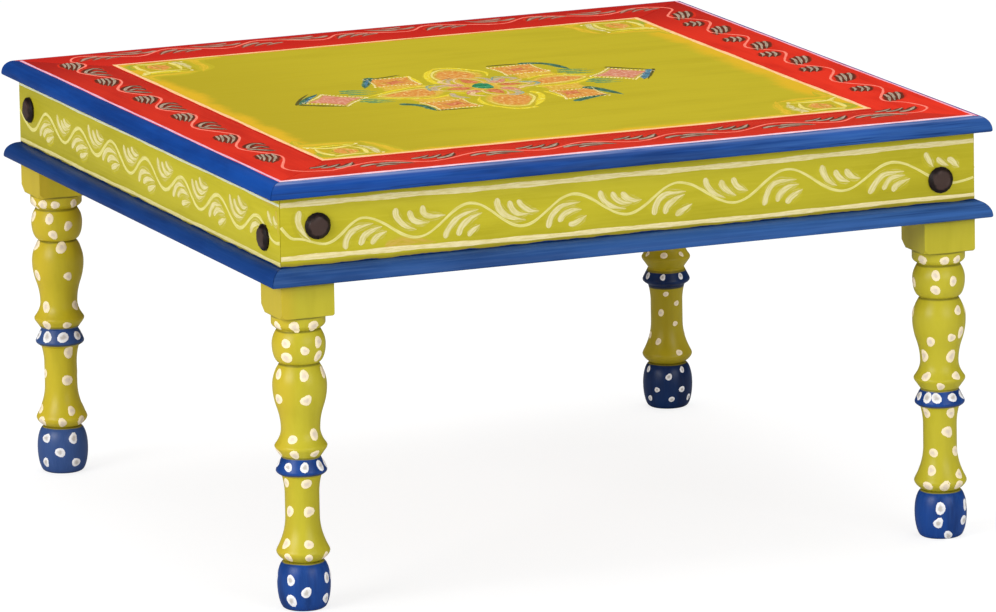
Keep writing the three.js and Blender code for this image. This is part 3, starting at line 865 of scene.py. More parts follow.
def on_top(x, y, rise):
    """Places a point on the top."""
    return Vector((x, y, TOP_HIGH + rise))


# The apron's vine on the long-leaved sides and on the short-leaved ones: its bends, as places along
# the side from its middle, and heights
VINE_FRONT = (
    (-288, 300.5), (-277, 290.6), (-252, 284.6), (-221, 302), (-177, 283), (-134, 305.5), (-91, 283.5),
    (-49, 304.5), (-4, 285), (38, 305.5), (86, 285.5), (130, 307.5), (177, 286.5), (219, 305), (271, 284),
    (288, 287),
)
VINE_LEFT = (
    (-288, 296), (-258, 284), (-225, 302), (-185, 286), (-149, 303.5), (-111, 288.5), (-75, 305.5),
    (-35, 287), (2, 305), (42, 287.5), (81, 303.5), (118, 285), (160, 303), (202, 285.5), (242, 302),
    (279, 287), (288, 288),
)

# Leaves: the points along each stroke, from its blunt start to its tail
LEAVES_FRONT = (
    ((-236, 279), (-235, 287), (-228, 294), (-213, 297)),
    ((-224, 281), (-221, 288), (-213, 292), (-206, 294)),
    ((-215, 281), (-211, 286), (-202, 290)),
    ((-155, 280), (-151, 288), (-142, 296), (-127, 300)),
    ((-144, 281), (-141, 288), (-133, 294), (-124, 297)),
    ((-136, 280), (-132, 284), (-126, 288)),
    ((-70, 280), (-67, 289), (-58, 296), (-43, 298)), ((-61, 284), (-57, 289), (-50, 292), (-42, 292)),
    ((-53, 281), (-47, 282), (-38, 287)),
    ((18, 282), (20, 290), (27, 297), (45, 298)), ((27, 282), (29, 288), (36, 293), (44, 296)),
    ((36, 280), (41, 283), (50, 288)),
    ((110, 281), (113, 290), (120, 298), (138, 299)), ((121, 283), (124, 289), (132, 294), (140, 295)),
    ((129, 281), (134, 286), (143, 291)),
    ((199, 282), (204, 289), (212, 296), (229, 297)), ((211, 284), (214, 289), (219, 293), (230, 294)),
    ((219, 282), (223, 287), (234, 291)),
    ((-273, 312), (-274, 304), (-271, 296), (-264, 288)),
    ((-195, 307), (-194, 300), (-188, 293), (-178, 289)),
    ((-184, 304), (-181, 297), (-174, 294), (-167, 294)),
    ((-173, 307), (-172, 301), (-166, 298), (-154, 298)),
    ((-112, 307), (-110, 299), (-103, 292), (-88, 288)), ((-102, 304), (-99, 297), (-93, 293), (-85, 293)),
    ((-95, 304), (-91, 299), (-85, 295), (-77, 294)),
    ((-27, 305), (-24, 298), (-17, 292), (-5, 289)), ((-17, 303), (-13, 297), (-7, 294), (0, 293)),
    ((-9, 302), (-4, 297), (1, 295), (8, 295)),
    ((61, 307), (63, 300), (69, 294), (78, 290)), ((74, 304), (76, 299), (80, 295), (87, 291)),
    ((84, 305), (87, 299), (91, 296), (97, 294)),
    ((159, 308), (161, 301), (165, 295), (172, 291)), ((170, 303), (173, 298), (177, 295), (183, 293)),
    ((179, 303), (183, 298), (187, 296), (192, 295)),
    ((247, 310), (250, 304), (254, 298)), ((257, 305), (261, 301), (267, 298)),
    ((266, 304), (270, 301), (276, 296)),
)
LEAVES_LEFT = (
    ((-241, 282), (-237, 288), (-228, 293), (-214, 296)),
    ((-233, 283), (-227, 288), (-218, 290), (-208, 291)),
    ((-226, 281), (-218, 283), (-208, 287)),
    ((-167, 285), (-161, 290), (-152, 294), (-139, 295)),
    ((-157, 284), (-150, 288), (-140, 290), (-128, 291)),
    ((-148, 281), (-141, 283), (-129, 287)),
    ((-96, 287), (-90, 294), (-80, 298), (-63, 297)), ((-85, 288), (-78, 292), (-69, 293), (-58, 291)),
    ((-76, 284), (-68, 287), (-57, 290)),
    ((-15, 284), (-10, 291), (-2, 294), (13, 294)), ((-5, 285), (2, 288), (11, 290), (21, 290)),
    ((5, 281), (12, 283), (23, 287)),
    ((61, 285), (66, 292), (74, 297), (89, 297)), ((71, 287), (78, 292), (87, 293), (97, 291)),
    ((80, 283), (88, 285), (99, 287)),
    ((139, 283), (145, 291), (153, 295), (167, 296)), ((149, 286), (156, 291), (164, 292), (173, 291)),
    ((159, 281), (166, 284), (176, 288)),
    ((227, 286), (232, 292), (240, 295), (250, 295)),
    ((-200, 306), (-197, 300), (-189, 295), (-178, 294)),
    ((-191, 303), (-186, 299), (-179, 298), (-171, 299)),
    ((-185, 305), (-181, 302), (-175, 301), (-168, 303)),
    ((-128, 310), (-125, 304), (-118, 298), (-104, 296)), ((-118, 307), (-113, 302), (-106, 299), (-96, 300)),
    ((-109, 309), (-105, 305), (-100, 303), (-92, 304)),
    ((-48, 307), (-44, 301), (-36, 297), (-22, 297)), ((-39, 306), (-34, 302), (-27, 300), (-17, 301)),
    ((-31, 308), (-26, 305), (-20, 304), (-13, 305)),
    ((28, 310), (31, 303), (38, 298), (52, 298)), ((37, 308), (42, 303), (49, 301), (59, 303)),
    ((46, 310), (50, 307), (55, 305), (63, 306)),
    ((103, 306), (107, 299), (116, 294), (130, 297)), ((111, 306), (116, 301), (124, 299), (135, 302)),
    ((119, 310), (124, 305), (130, 304), (139, 306)),
    ((184, 308), (188, 300), (197, 294), (213, 295)), ((193, 306), (198, 301), (207, 298), (219, 301)),
    ((202, 310), (207, 305), (214, 303), (223, 305)),
    ((264, 309), (268, 304), (274, 300)), ((276, 307), (279, 303), (285, 302)),
)

# The two lines of an apron: heights at equal steps from left to right, and widths at the two ends
APRON_LINES_FRONT = (
    ("low", (276.2, 274.6, 273.4, 273.2, 273.7), 4.2, 3.0),
    ("high", (317.4, 316, 315.2, 315.2, 316.2), 4.4, 3.9),
)
APRON_LINES_LEFT = (("low", (271.9,) * 5, 2.8, 2.8), ("high", (317.2,) * 5, 2, 2))

# Thin smears of another colour that the painter's hand left: points and width
SMEARS_FRONT = ((((-204, 278), (-188, 281), (-162, 278)), 15),)
SMEARS_LEFT = ((((252, 317), (272, 316), (287, 315)), 6), (((281, 312), (284, 303), (286, 292)), 5))


def paint_apron(side):
    """Cream ornament on one apron: two lines, a vine, and sprays of three leaves in its bends, each
    in a thin haze of its paint."""
    name = SIDES[side]
    along = side % 2
    place = on_side(side)
    end = APRON_FACE - 0.6

    for line, heights, width, last in APRON_LINES_LEFT if along else APRON_LINES_FRONT:
        strokes = Strokes(place, 20 + side)
        steps = [(-end + end * k / 2, height) for k, height in enumerate(heights)]
        strokes.stroke(curve_through(steps, 8), width, wander=0.25, spacing=4, even=True, end_width=last)
        paint = HIGH_LINE_ON_GREEN if line == "high" else LOW_LINE_ON_GREEN
        strokes.finish(f"apron_{line}_line_{name}", paint[along], "apron_paint")

    stem = Strokes(place, 30 + side)
    stem.stroke(waving(VINE_LEFT if along else VINE_FRONT), 3.2 if along else 2.4, wander=0.15, spacing=2.4,
                even=True)
    stem.finish(f"apron_vine_{name}", STEM_ON_GREEN[along], "apron_paint")

    leaves, haze = Strokes(place, 40 + side), Strokes(place, 42 + side)
    for points in LEAVES_LEFT if along else LEAVES_FRONT:
        width = leaves.chance.uniform(6.4, 7.2)
        leaves.stroke(points, width)
        haze.stroke(points, width + 5, rise=0.05, tail=0.3)
    leaves.finish(f"apron_leaves_{name}", LEAF_ON_GREEN[along], "apron_paint")
    haze.finish(f"apron_leaf_haze_{name}", HAZE_ON_GREEN[along], "apron_paint")

    smears = Strokes(place, 45 + side)
    for points, width in SMEARS_LEFT if along else SMEARS_FRONT:
        smears.stroke(points, width, rise=0.04)
    smears.finish(f"apron_smears_{name}", SMEAR_ON_GREEN[along], "apron_paint")


# The border's straight lines: two ends and a width. The front's is pinkish white, the right's and
# the left's rosy, and the ones round the field peach
EDGE_LINES = ((((-288, -286.8), (288, -286.8)), 5),)
EDGE_LINES_ROSY = ((((290.2, -290), (290.2, 291)), 2), (((-286.8, 288), (-286.8, -286)), 2.6))
INNER_LINES = (
    (((-228, -222), (231, -222)), 5.2),
    (((229, -224), (229, 235)), 4),
    (((231, 233), (-228, 233)), 3.6),
    (((-226.6, 235), (-226.6, -224)), 3.4),
)

# The border's vine: one loop round the top, through each bend
VINE_LOOP = (
    (-236, -264), (-192, -246), (-153, -265), (-103, -245), (-61, -263), (-23, -247), (17, -265),
    (56, -247), (98, -264), (139, -245), (184, -264), (213, -246), (252, -256), (267, -248), (272, -235),
    (266, -214), (254, -194), (276, -144), (254, -102), (275, -53), (255, -12), (273, 34), (254, 67),
    (275, 111), (256, 145), (276, 191), (256, 222), (262, 240), (272, 257), (266, 270), (245, 276),
    (208, 258), (155, 280), (120, 261), (66, 283), (39, 264), (-12, 280), (-37, 262), (-84, 283),
    (-119, 262), (-162, 283), (-195, 262), (-236, 283), (-252, 266), (-247, 244), (-264, 216),
    (-246, 169), (-263, 125), (-245, 81), (-263, 39), (-247, -2), (-267, -50), (-248, -97),
    (-267, -147), (-249, -191), (-265, -236), (-258, -256),
)
# A cluster of leaves in a bend of the border's vine, drawn along the side and inwards: on the left
# side, on the front and the back, and on the right side
LEAVES_INNER = (
    (((-1, -10), (-11, -5), (-17, 3), (-8, 8)), 3.8), (((0, -6), (-4, 1), (5, 6)), 3.6),
    (((1, -11), (8, -4), (18, 6)), 4.4),
)
LEAVES_OUTER = (
    (((-15, 9), (1, 6), (21, -4)), 3.2), (((-15, 4), (0, 2), (18, -6)), 3),
    (((-16, 1), (-2, -2), (13, -8)), 3), (((-14, -3), (-3, -5), (5, -8)), 2.8),
)
LEAVES_INNER_LONG = (
    (((-20, -2), (-11, 0), (-3, 6)), 2.8), (((-12, -5), (-2, -3), (7, 5)), 3.2),
    (((-2, -10), (9, -5), (18, 6)), 4.8),
)
LEAVES_OUTER_LONG = (
    (((-21, -2), (-11, 3), (0, 1)), 4.2), (((-10, -6), (0, -3), (10, -6)), 3.4),
    (((-4, 4), (8, 2), (21, -7)), 4.6),
)
LEAVES_INNER_RIGHT = (
    (((11, -6), (0, -4), (-12, 2)), 3.4), (((13, -1), (2, 0), (-11, 7)), 3.4),
    (((10, 5), (2, 6), (-7, 11)), 3),
)
LEAVES_OUTER_RIGHT = (
    (((18, -10), (4, -6), (-14, 2)), 3.6), (((18, -4), (4, -1), (-17, 7)), 3.6),
    (((12, 3), (2, 4), (-19, 12)), 3.4),
)
# Clusters that stand out, and the ones at the back, drawn in darker and duller paints as painted
# # shade: the side, the leaves, and the middle of each cluster
CLUSTERS = (
    (0, LEAVES_INNER_LONG, ((-228, -247), (-145, -247), (-59, -247), (22, -248), (101, -246), (183, -248),
      (247, -238))),
    (0, LEAVES_OUTER_LONG, ((-190, -259), (-99, -257), (-23, -259), (61, -261), (144, -259), (225, -254))),
    (1, LEAVES_INNER_RIGHT, ((261, 184), (261, 103), (259, 28), (261, -48), (261, -145))),
    (1, LEAVES_OUTER_RIGHT, ((268, 225), (268, 148), (268, 67), (269, -8), (269, -94), (268, -187))),
    (3, LEAVES_INNER, ((-250, 209), (-249, 122), (-250, 39), (-252, -52), (-251, -152))),
    (3, LEAVES_OUTER, ((-259, 244), (-258, 166), (-258, 79), (-258, -6), (-261, -106), (-261, -194))),
)
CLUSTERS_BACK = (
    (2, LEAVES_INNER_LONG, ((-228, 266), (-159, 266), (-89, 264), (-5, 266), (73, 266), (162, 267),
      (244, 264))),
    (2, LEAVES_OUTER_LONG, ((-195, 277), (-122, 277), (-47, 275), (31, 279), (119, 277), (206, 270))),
)


def paint_border():
    """The border of the top: a pale line at each edge, a salmon vine, and leaves with dark outlines."""
    for name, lines, paint, slot, seed in (
        ("border_edge_lines", EDGE_LINES, EDGE_ON_RED, "border_paint", 17),
        ("border_edge_lines_rosy", EDGE_LINES_ROSY, ROSY_EDGE_ON_RED, "border_paint", 22),
        ("border_inner_lines", INNER_LINES, INNER_LINE_PAINT, "field_paint", 18),
    ):
        edges = Strokes(on_top, seed)
        for ends, width in lines:
            a, b = Vector(ends[0]), Vector(ends[1])
            edges.stroke([a.lerp(b, k / 24) for k in range(25)], width, wander=0.2, spacing=5, even=True)
        edges.finish(name, paint, slot)

    stem = Strokes(on_top, 52)
    stem.stroke(VINE_LOOP + VINE_LOOP[:1], 2.1, wander=0.12, even=True)
    stem.finish("border_vine", STEM_ON_RED, "border_paint")

    for name, clusters, outline_paint, leaf_paint in (
        ("border", CLUSTERS, DARK_ON_RED, LEAF_ON_RED),
        ("back_border", CLUSTERS_BACK, SHADED_DARK_ON_RED, SHADED_LEAF_ON_RED),
    ):
        dark, pale = Strokes(on_top, 53), Strokes(on_top, 53)
        for side, leaves, middles in clusters:
            turn = Matrix.Rotation(side * QUARTER_TURN, 2)
            dark_rim, pale_rim = (9, 0.4) if side % 2 else (7, 1.5)
            for middle in middles:
                for points, width in leaves:
                    path = [Vector(middle) + turn @ Vector(point) for point in points]
                    dark.stroke(path, width + dark_rim, rise=0.07, tail=0.3)
                    pale.stroke(path, width + pale_rim, rise=0.17, tail=0.5)
        dark.finish(f"{name}_leaf_outlines", outline_paint, "border_paint")
        pale.finish(f"{name}_leaves", leaf_paint, "border_paint")


def petal(tip, base, width, swell=0.55, steps=10):
    """Outline of a pointed petal from its base to its tip."""
    tip, base = Vector(tip), Vector(base)
    axis = tip - base
    side = Vector((-axis.y, axis.x)).normalized()
    rim = []
    for k in range(steps + 1):
        t = k / steps
        bulge = math.sin(math.pi * t ** swell) ** 0.8 if 0 < t < 1 else 0.0
        rim.append((base + axis * t, side * width / 2 * bulge))
    return [c + s for c, s in rim] + [c - s for c, s in reversed(rim[1:-1])]


def concave_square(centre, half, degrees, hollow=2.5, steps=4):
    """Outline of a square with hollow sides and drawn-out corners."""
    turn = Matrix.Rotation(math.radians(degrees), 2)
    corners = [Vector((sx * half[0], sy * half[1])) for sx, sy in ((-1, -1), (1, -1), (1, 1), (-1, 1))]
    outline = []
    for a, b in zip(corners, corners[1:] + corners[:1]):
        inwards = -((a + b) / 2).normalized()
        for k in range(steps):
            t = k / steps
            outline.append(Vector(centre) + turn @ (a.lerp(b, t) + inwards * hollow * math.sin(math.pi * t)))
    return outline


def beads_along(dabs, outline, spacing, radius, rise):
    """Small dabs side by side along a closed outline."""
    left = 0.0
    for a, b in zip(outline, outline[1:] + outline[:1]):
        length = (b - a).length
        while left < length:
            point = a.lerp(b, left / length)
            dabs.dab(point.x, point.y, radius * dabs.chance.uniform(0.75, 1.2), rise, segments=7, rings=4)
            left += spacing * dabs.chance.uniform(0.85, 1.15)
        left -= length


# The flower in the middle of the top: each large petal's outline, from its foot
PETALS = (
    ((-6, 24), (-24, 32), (-28, 48), (-25, 64), (-18, 80), (-7, 93), (5, 92), (17, 77), (23, 62), (17, 40)),
    ((4, -16), (22, -32), (25, -46), (21, -60), (14, -75), (3, -90), (-8, -93), (-18, -86), (-25, -72),
     (-26, -54), (-18, -32)),
    ((-30, 6), (-38, 26), (-54, 26), (-70, 21), (-84, 13), (-98, 3), (-86, -8), (-72, -15), (-54, -21),
     (-38, -12)),
    ((34, 4), (38, -14), (55, -13), (72, -10), (88, 0), (98, 12), (86, 18), (71, 27), (56, 26), (44, 19)),
)
# Small petals round the middle: paint, tip, foot and width
SMALL_PETALS = (
    ("red", (-6, 45), (0, 19), 15), ("red", (3, -33), (-1, -5), 15), ("red", (-35, 7), (-9, 3), 15),
    ("red", (35, 2), (12, 8), 13), ("rose", (-30, 28), (-12, 14), 13), ("rose", (28, 30), (12, 16), 13),
    ("rose", (-26, -22), (-10, -6), 12), ("rose", (22, -24), (10, -4), 12),
)
# Squares with hollow sides: paint, middle, half width and half depth, and turn in degrees
FLOWER_SQUARES = (
    ("gold", (-58, 38), (22, 16), 0), ("gold", (56, 37), (21, 16), 0),
    ("gold", (-56, -28), (20, 14), 0), ("gold", (56, -26), (20, 14), 0),
    ("orange", (-57, 58), (20, 19), -6), ("orange", (53, 62), (20, 20), 3),
    ("orange", (-52, -54), (19, 19), 3), ("orange", (56, -56), (19, 20), -2),
    ("red", (-57, 54), (11, 9), 20), ("red", (52, 62), (10, 8), 10),
    ("red", (-49, -53), (12, 9), 15), ("red", (51, -52), (10, 10), 0),
    ("rose", (-127, 5), (19, 19), 45), ("rose", (119, 6), (19, 19), 45),
)
# Each paint's strokes: width and points
FLOWER_STROKES = {
    "yellow": (
        (8, ((-27, 33), (-28, 48), (-24, 66), (-16, 83), (-6, 95))),
        (5.5, ((-9, 95), (5, 94), (18, 78), (25, 62), (20, 46))),
        (8, ((25, -30), (27, -46), (22, -61), (14, -77), (3, -92))),
        (5.5, ((5, -93), (-9, -95), (-19, -87), (-27, -70), (-27, -50), (-19, -32))),
        (5, ((-30, 22), (-40, 28), (-54, 28), (-70, 22), (-84, 14), (-102, 4))),
        (5, ((-36, -14), (-54, -22), (-72, -16), (-86, -9), (-104, 2))),
        (5, ((44, 21), (56, 28), (71, 29), (86, 19), (102, 13))),
        (5, ((36, -15), (55, -15), (72, -12), (88, -1), (102, 10))), (4, ((-37, 78), (-38, 60), (-40, 36))),
        (4, ((34, -36), (37, -56), (39, -80))),
    ),
    "cream": (
        (3.5, ((-22, 40), (-21, 60), (-14, 77), (-5, 87), (4, 86), (12, 74), (18, 60))),
        (3.5, ((20, -40), (18, -56), (8, -74), (0, -85), (-12, -84), (-20, -70), (-21, -52))),
        (3, ((-40, 20), (-56, 20), (-72, 14), (-90, 4), (-72, -9), (-54, -14))),
        (3, ((44, -8), (58, -6), (74, -3), (88, 8), (72, 19), (56, 19))),
    ),
    "blush": (
        (3, ((-12, 16), (-13, 34), (-5, 48), (6, 34), (6, 18))),
        (3, ((-8, -8), (-8, -24), (2, -36), (9, -22), (8, -8))),
        (3, ((-14, -6), (-26, -5), (-38, 6), (-28, 17), (-14, 12))),
        (3, ((12, 0), (24, -5), (38, 2), (26, 14), (12, 14))), (8, ((-16, -12), (-22, -24), (-14, -34))),
        (7, ((-20, 24), (-24, 38), (-16, 46))), (7, ((22, -14), (30, -8), (44, -8))),
        (6, ((38, 20), (30, 14), (20, 12))),
    ),
    "mist": (
        (10, ((17, 22), (22, 33), (32, 33), (36, 26), (28, 21))), (4, ((35, 8), (40, 3), (36, -1))),
        (8, ((4, -36), (11, -36), (15, -28), (11, -18))), (10, ((-40, 6), (-38, 19), (-29, 23), (-19, 20))),
        (5, ((-20, 30), (-16, 42), (-7, 47))), (8, ((-34, -10), (-36, -24), (-28, -36))),
        (6, ((13, 22), (15, 36), (8, 46))),
    ),
    "slate": (
        (3, ((14, 20), (22, 39), (35, 36))), (5, ((33, 13), (42, 9), (45, 0), (37, -6))),
        (3, ((8, -40), (17, -34), (16, -20))), (4, ((-44, 8), (-41, 26), (-29, 31))),
        (3, ((-24, 30), (-19, 44), (-8, 51))),
    ),
    "teal": (
        (10, ((-67, 83), (-76, 65), (-86, 42))), (9, ((-158, 1), (-147, 18), (-130, 36))),
        (10, ((-88, -34), (-75, -48), (-72, -73))), (10, ((62, 85), (78, 79), (85, 66), (90, 44))),
        (11, ((69, -33), (77, -52), (84, -78))), (9, ((39, -87), (56, -77), (75, -71))),
    ),
    "blue": (
        (10, ((146, 13), (136, -4), (125, -24))), (4, ((-151, 9), (-142, 22), (-132, 32))),
        (4, ((-71, 75), (-77, 62), (-83, 48))),
    ),
    "umber": (
        (5, ((-66, 77), (-53, 79), (-40, 83))), (5, ((35, 85), (50, 85), (66, 83))),
        (4.5, ((-72, -72), (-55, -75), (-36, -78))), (6, ((-160, -1), (-146, -11), (-124, -25))),
        (6, ((118, 39), (132, 25), (148, 9))), (4, ((-162, -1), (-150, 21), (-136, 39))),
        (4, ((150, 14), (140, -5), (128, -27))),
    ),
}
# Middles of the ragged green smears between the petals and the squares
SAGE_SMEARS = ((-98, 28), (-97, -12), (91, 34), (95, -16))
# Closed rows of beads: middle, half width and half depth, and turn in degrees
FLOWER_BEADS = (
    ((-57, 58), (19, 18), -6), ((53, 62), (19, 19), 3), ((-52, -54), (18, 18), 3), ((56, -56), (18, 19), -2),
    ((-127, 5), (20, 20), 45), ((119, 6), (20, 20), 45),
)
# How far each paint stands over the ones under it
FLOWER_LAYERS = {
    "glaze": 0.03, "halo": 0.035, "gold": 0.05, "orange": 0.07, "umber_soft": 0.12, "sage": 0.09,
    "yellow": 0.1, "red": 0.13, "rose": 0.13, "slate": 0.14, "teal": 0.15, "umber": 0.16, "blue": 0.19,
    "mist": 0.17, "blush": 0.2, "cream": 0.2, "sage_soft": 0.09, "mist_soft": 0.17, "green": 0.18,
}
# How much higher each next patch of one paint lies, so that no two are level, how far the squares
# lie over the petals, and how far the round grounds lie under them
LAYER_STEP = 0.002
SQUARES_OVER = 0.009
GROUNDS_UNDER = 0.004
BEAD_RISE = 0.22


def scaled(outline, share):
    """An outline drawn larger or smaller about its middle."""
    middle = middle_of(outline)
    return [middle.lerp(Vector(point), share) for point in outline]


def paint_medallion():
    """The flower in the middle of the top, and a small one in each corner of the field."""
    paints = {name: Strokes(on_top, 60 + k) for k, name in enumerate(FLOWER_LAYERS)}
    for k, outline in enumerate(PETALS):
        rim = curve_through(outline + outline[:1], 2)[:-1]
        for name, share in (("halo", 1.22), ("gold", 1.0), ("orange", 0.74)):
            paints[name].patch(scaled(rim, share), FLOWER_LAYERS[name] + k * LAYER_STEP)
    for k, (name, tip, foot, width) in enumerate(SMALL_PETALS):
        paints[name].patch(petal(tip, foot, width), FLOWER_LAYERS[name] + k * LAYER_STEP)
    for k, (name, middle, half, turn) in enumerate(FLOWER_SQUARES):
        rise = FLOWER_LAYERS[name] + SQUARES_OVER + k % 9 * LAYER_STEP
        paints[name].patch(concave_square(middle, half, turn), rise)
    for name, strokes in FLOWER_STROKES.items():
        for width, points in strokes:
            paints[name].stroke(points, width, FLOWER_LAYERS[name], tail=0.35, wander=0.5)
    for x, y in SAGE_SMEARS:
        for shift, reach, width in ((-8, 11, 8), (0, 15, 9), (8, 12, 8)):
            smear = ((x - reach, y + shift + 3), (x, y + shift), (x + reach, y + shift - 3))
            paints["sage"].stroke(smear, width, FLOWER_LAYERS["sage"], tail=0.8, wander=0.8)
    # Two round grounds under the middle, and the green middle with a pale touch on it
    turns = [k * math.pi / 8 for k in range(16)]
    for name, reach in (("halo", 54), ("gold", 34)):
        ring = [(reach * math.cos(turn), 6 + 0.9 * reach * math.sin(turn)) for turn in turns]
        paints[name].patch(ring, FLOWER_LAYERS[name] - GROUNDS_UNDER)
    paints["green"].dab(0, 8, 11, 0.19, stretch=1.25, segments=16, uneven=0.12)
    paints["mist"].stroke(((4, 18), (11, 18), (15, 12)), 2.5, 0.2)
    beads = Strokes(on_top, 80)
    for middle, half, turn in FLOWER_BEADS:
        beads_along(beads, concave_square(middle, half, turn), 3.4, 1.4, BEAD_RISE)
    paint_corner_flowers(paints, beads)
    for name, strokes in paints.items():
        strokes.finish(f"flower_{name}", FLOWER_PAINTS[name], "field_paint")
    beads.finish("flower_beads", PALE_BEADS, "field_paint")


# A corner's small flower, as distances inwards from the two cream lines that meet there
CORNER_STROKES = (
    ("glaze", 17, ((3, 66), (12, 60), (30, 59), (54, 56))),
    ("glaze", 17, ((66, 4), (62, 22), (60, 40), (52, 60))),
    ("glaze", 11, ((4, 46), (5, 60), (7, 84))), ("glaze", 10, ((52, 4), (68, 6), (94, 5))),
    ("sage_soft", 8, ((7, 30), (7, 12), (28, 6))), ("sage_soft", 5, ((42, 9), (32, 8), (22, 9))),
    ("cream", 6, ((13, 12), (10, 26), (12, 44))), ("cream", 6, ((8, 46), (26, 43), (46, 46))),
    ("mist_soft", 13, ((47, 8), (50, 26), (46, 46))), ("cream", 5, ((14, 9), (28, 12), (46, 8))),
    ("yellow", 5, ((12, 50), (28, 49), (46, 52))), ("cream", 5, ((4, 54), (14, 46))),
    ("cream", 5, ((42, 12), (45, 28), (40, 44))), ("umber_soft", 3, ((20, 15), (17, 26), (20, 36))),
    ("umber_soft", 3, ((37, 18), (40, 29), (36, 38))), ("umber_soft", 2.5, ((28, 16), (29, 26), (27, 36))),
)
BRUSH_MISS = 1.5
# Where the cream lines meet, and the two ways inwards from there
FIELD_CORNERS = ((-226.6, 233, 1, -1), (229, 233, -1, -1), (-226.6, -222, 1, 1), (229, -222, -1, 1))


def paint_corner_flowers(paints, beads):
    """A square of pale strokes round a golden middle, with a golden glaze brushed beyond it. The
    brush misses each place by a little, by chance."""
    for left, near, right, up in FIELD_CORNERS:
        def placed(point, chance=paints["cream"].chance):
            return (left + right * (point[0] + chance.uniform(-BRUSH_MISS, BRUSH_MISS)),
                    near + up * (point[1] + chance.uniform(-BRUSH_MISS, BRUSH_MISS)))

        paints["gold"].patch([placed(point) for point in petal((28, 44), (28, 10), 26, 0.8)], 0.06)
        paints["orange"].patch([placed(point) for point in petal((28, 40), (28, 13), 20, 0.8)], 0.08)
        for name, width, points in CORNER_STROKES:
            paints[name].stroke([placed(point) for point in points], width, FLOWER_LAYERS[name], tail=0.4,
                                wander=0.6)
        for point in ((8, 50), (46, 50), (52, 10)):
            beads.dab(*placed(point), 1.6, BEAD_RISE)


def radius_at(height):
    """Radius of the turned leg at a height, and its slope."""
    for (r0, z0), (r1, z1) in zip(OUTLINE, OUTLINE[1:]):
        if z0 <= height <= z1 and z1 > z0:
            return r0 + (r1 - r0) * (height - z0) / (z1 - z0), (r1 - r0) / (z1 - z0)
    return OUTLINE[-1][0], 0.0


# The dots were measured from the camera's side, this far round from the front
VIEW_TURN = math.radians(-22.3)


def on_leg(number):
    """Places a point on a leg's turned surface: an angle from the front as seen from the
    table's near left, a height, and how far it stands proud."""
    axis = quarter_turns(number) @ Vector((-LEG_AXIS, -LEG_AXIS, 0))

    def place(angle, height, rise):
        height = max(0.5, min(TURNED_HIGH - 0.5, height))
        radius, slope = radius_at(height)
        turned = angle - QUARTER_TURN + VIEW_TURN
        out = Vector((math.cos(turned), math.sin(turned), -slope)).normalized()
        surface = Vector((radius * math.cos(turned), radius * math.sin(turned), height))
        return axis + surface + out * rise
    return place


# Dots on the half of each leg that faces the front, in the corners' order: rows of a height, then
# each dot's angle in degrees
DOTS = (
    (
        (222, -50, -7, 36), (209, -28, 49), (203.5, 14), (198, -28, 49), (184, -57, 12, 75), (165, -53, 15),
        (137, 43), (134, -22), (122.5, -73, -15, 37), (112.5, -90, -34, 9, 55), (99, -56, 16), (77, -46, 24),
        (52.5, -47, 16), (42.3, -35, 14, 60), (25, -90, -29, 61), (15.8, 6), (9, -29, 59),
    ),
    (
        (222.5, -41, 11, 42), (211, -9), (206, 31), (199.5, -10), (203.5, -75), (182, 47), (179, -90),
        (158, -24), (161, 28), (164, 56), (145.5, -52, 34), (130, -37, 43), (122.5, 0),
        (113, -70, -36, -11, 33, 73), (100, -50, 35), (85, 24), (68.5, -26, 62), (55, -27), (51, 52),
        (43, -33, 8, 44), (25.7, -3, 70), (14, -8, 60), (3.5, 16),
    ),
    (
        (222, -40, 5, 50), (207, -25, 20, 65), (185, -50, 10, 55), (162, -20, 35), (130.5, -58, -6, 44),
        (112, -59, -10, 41), (97, -3), (88.5, 38), (81, -22), (71.5, 31), (61, -75), (57, -29), (48, 30),
        (33, -60, 40), (28, 2), (17, -27, 34), (9, -50, 8, 60),
    ),
    (
        (222.5, -61, -30, 0, 46), (211, -15, -70), (205, 29), (198, -7), (187, -72, 13), (163.5, -56, 26),
        (137.5, -41, 62), (123, -32, 22), (113, -74, -34, 11, 58), (99.5, 31), (81, -70), (76.5, 26),
        (52, -73, 29), (43, -52, 3, 54), (29.5, -40, 29), (18.6, -4), (9.5, -43, 35),
    ),
)
DOT_RADIUS = 4.2
DOT_RISE = 0.4
# The back right leg's dots are smaller
SMALL_DOTS = 0.62


def paint_dots():
    """Cream dots on each leg's green and white ones on its blue, all the way round."""
    for number, name in enumerate(CORNERS):
        surface = on_leg(number)
        ring_low, ring_high = LEG_COATS[number][1]
        green_dots, blue_dots = Strokes(None, 100 + number), Strokes(None, 200 + number)
        size = DOT_RADIUS * (SMALL_DOTS if name == "back_right" else 1)
        for height, *angles in DOTS[number]:
            dabs = blue_dots if height < FOOT_PAINT or ring_low < height < ring_high else green_dots
            radius, slope = radius_at(height)
            steep = math.sqrt(1 + slope ** 2)
            for angle in [turn + half for turn in angles for half in (0, 180)]:
                middle = math.radians(angle)
                dabs.place = lambda a, b, rise: surface(middle + a / radius, height + b / steep, rise)
                dabs.dab(0, 0, size * dabs.chance.uniform(0.86, 1.16), DOT_RISE, stretch=1.08, uneven=0.12)
        green_dots.finish(f"leg_dots_{name}", DOT_ON_GREEN, "leg_paint")
        blue_dots.finish(f"leg_blue_dots_{name}", DOT_ON_BLUE, "leg_paint")


# The camera's turns, the point it looks at, measured across its picture, and its distance and lens
CAMERA_TURNS = (-22.34, 11.71, -1.05)
CAMERA_AIM = (3.01, 155.89)
CAMERA_AWAY = 7850.44
LENS = 356.0
SENSOR = 36


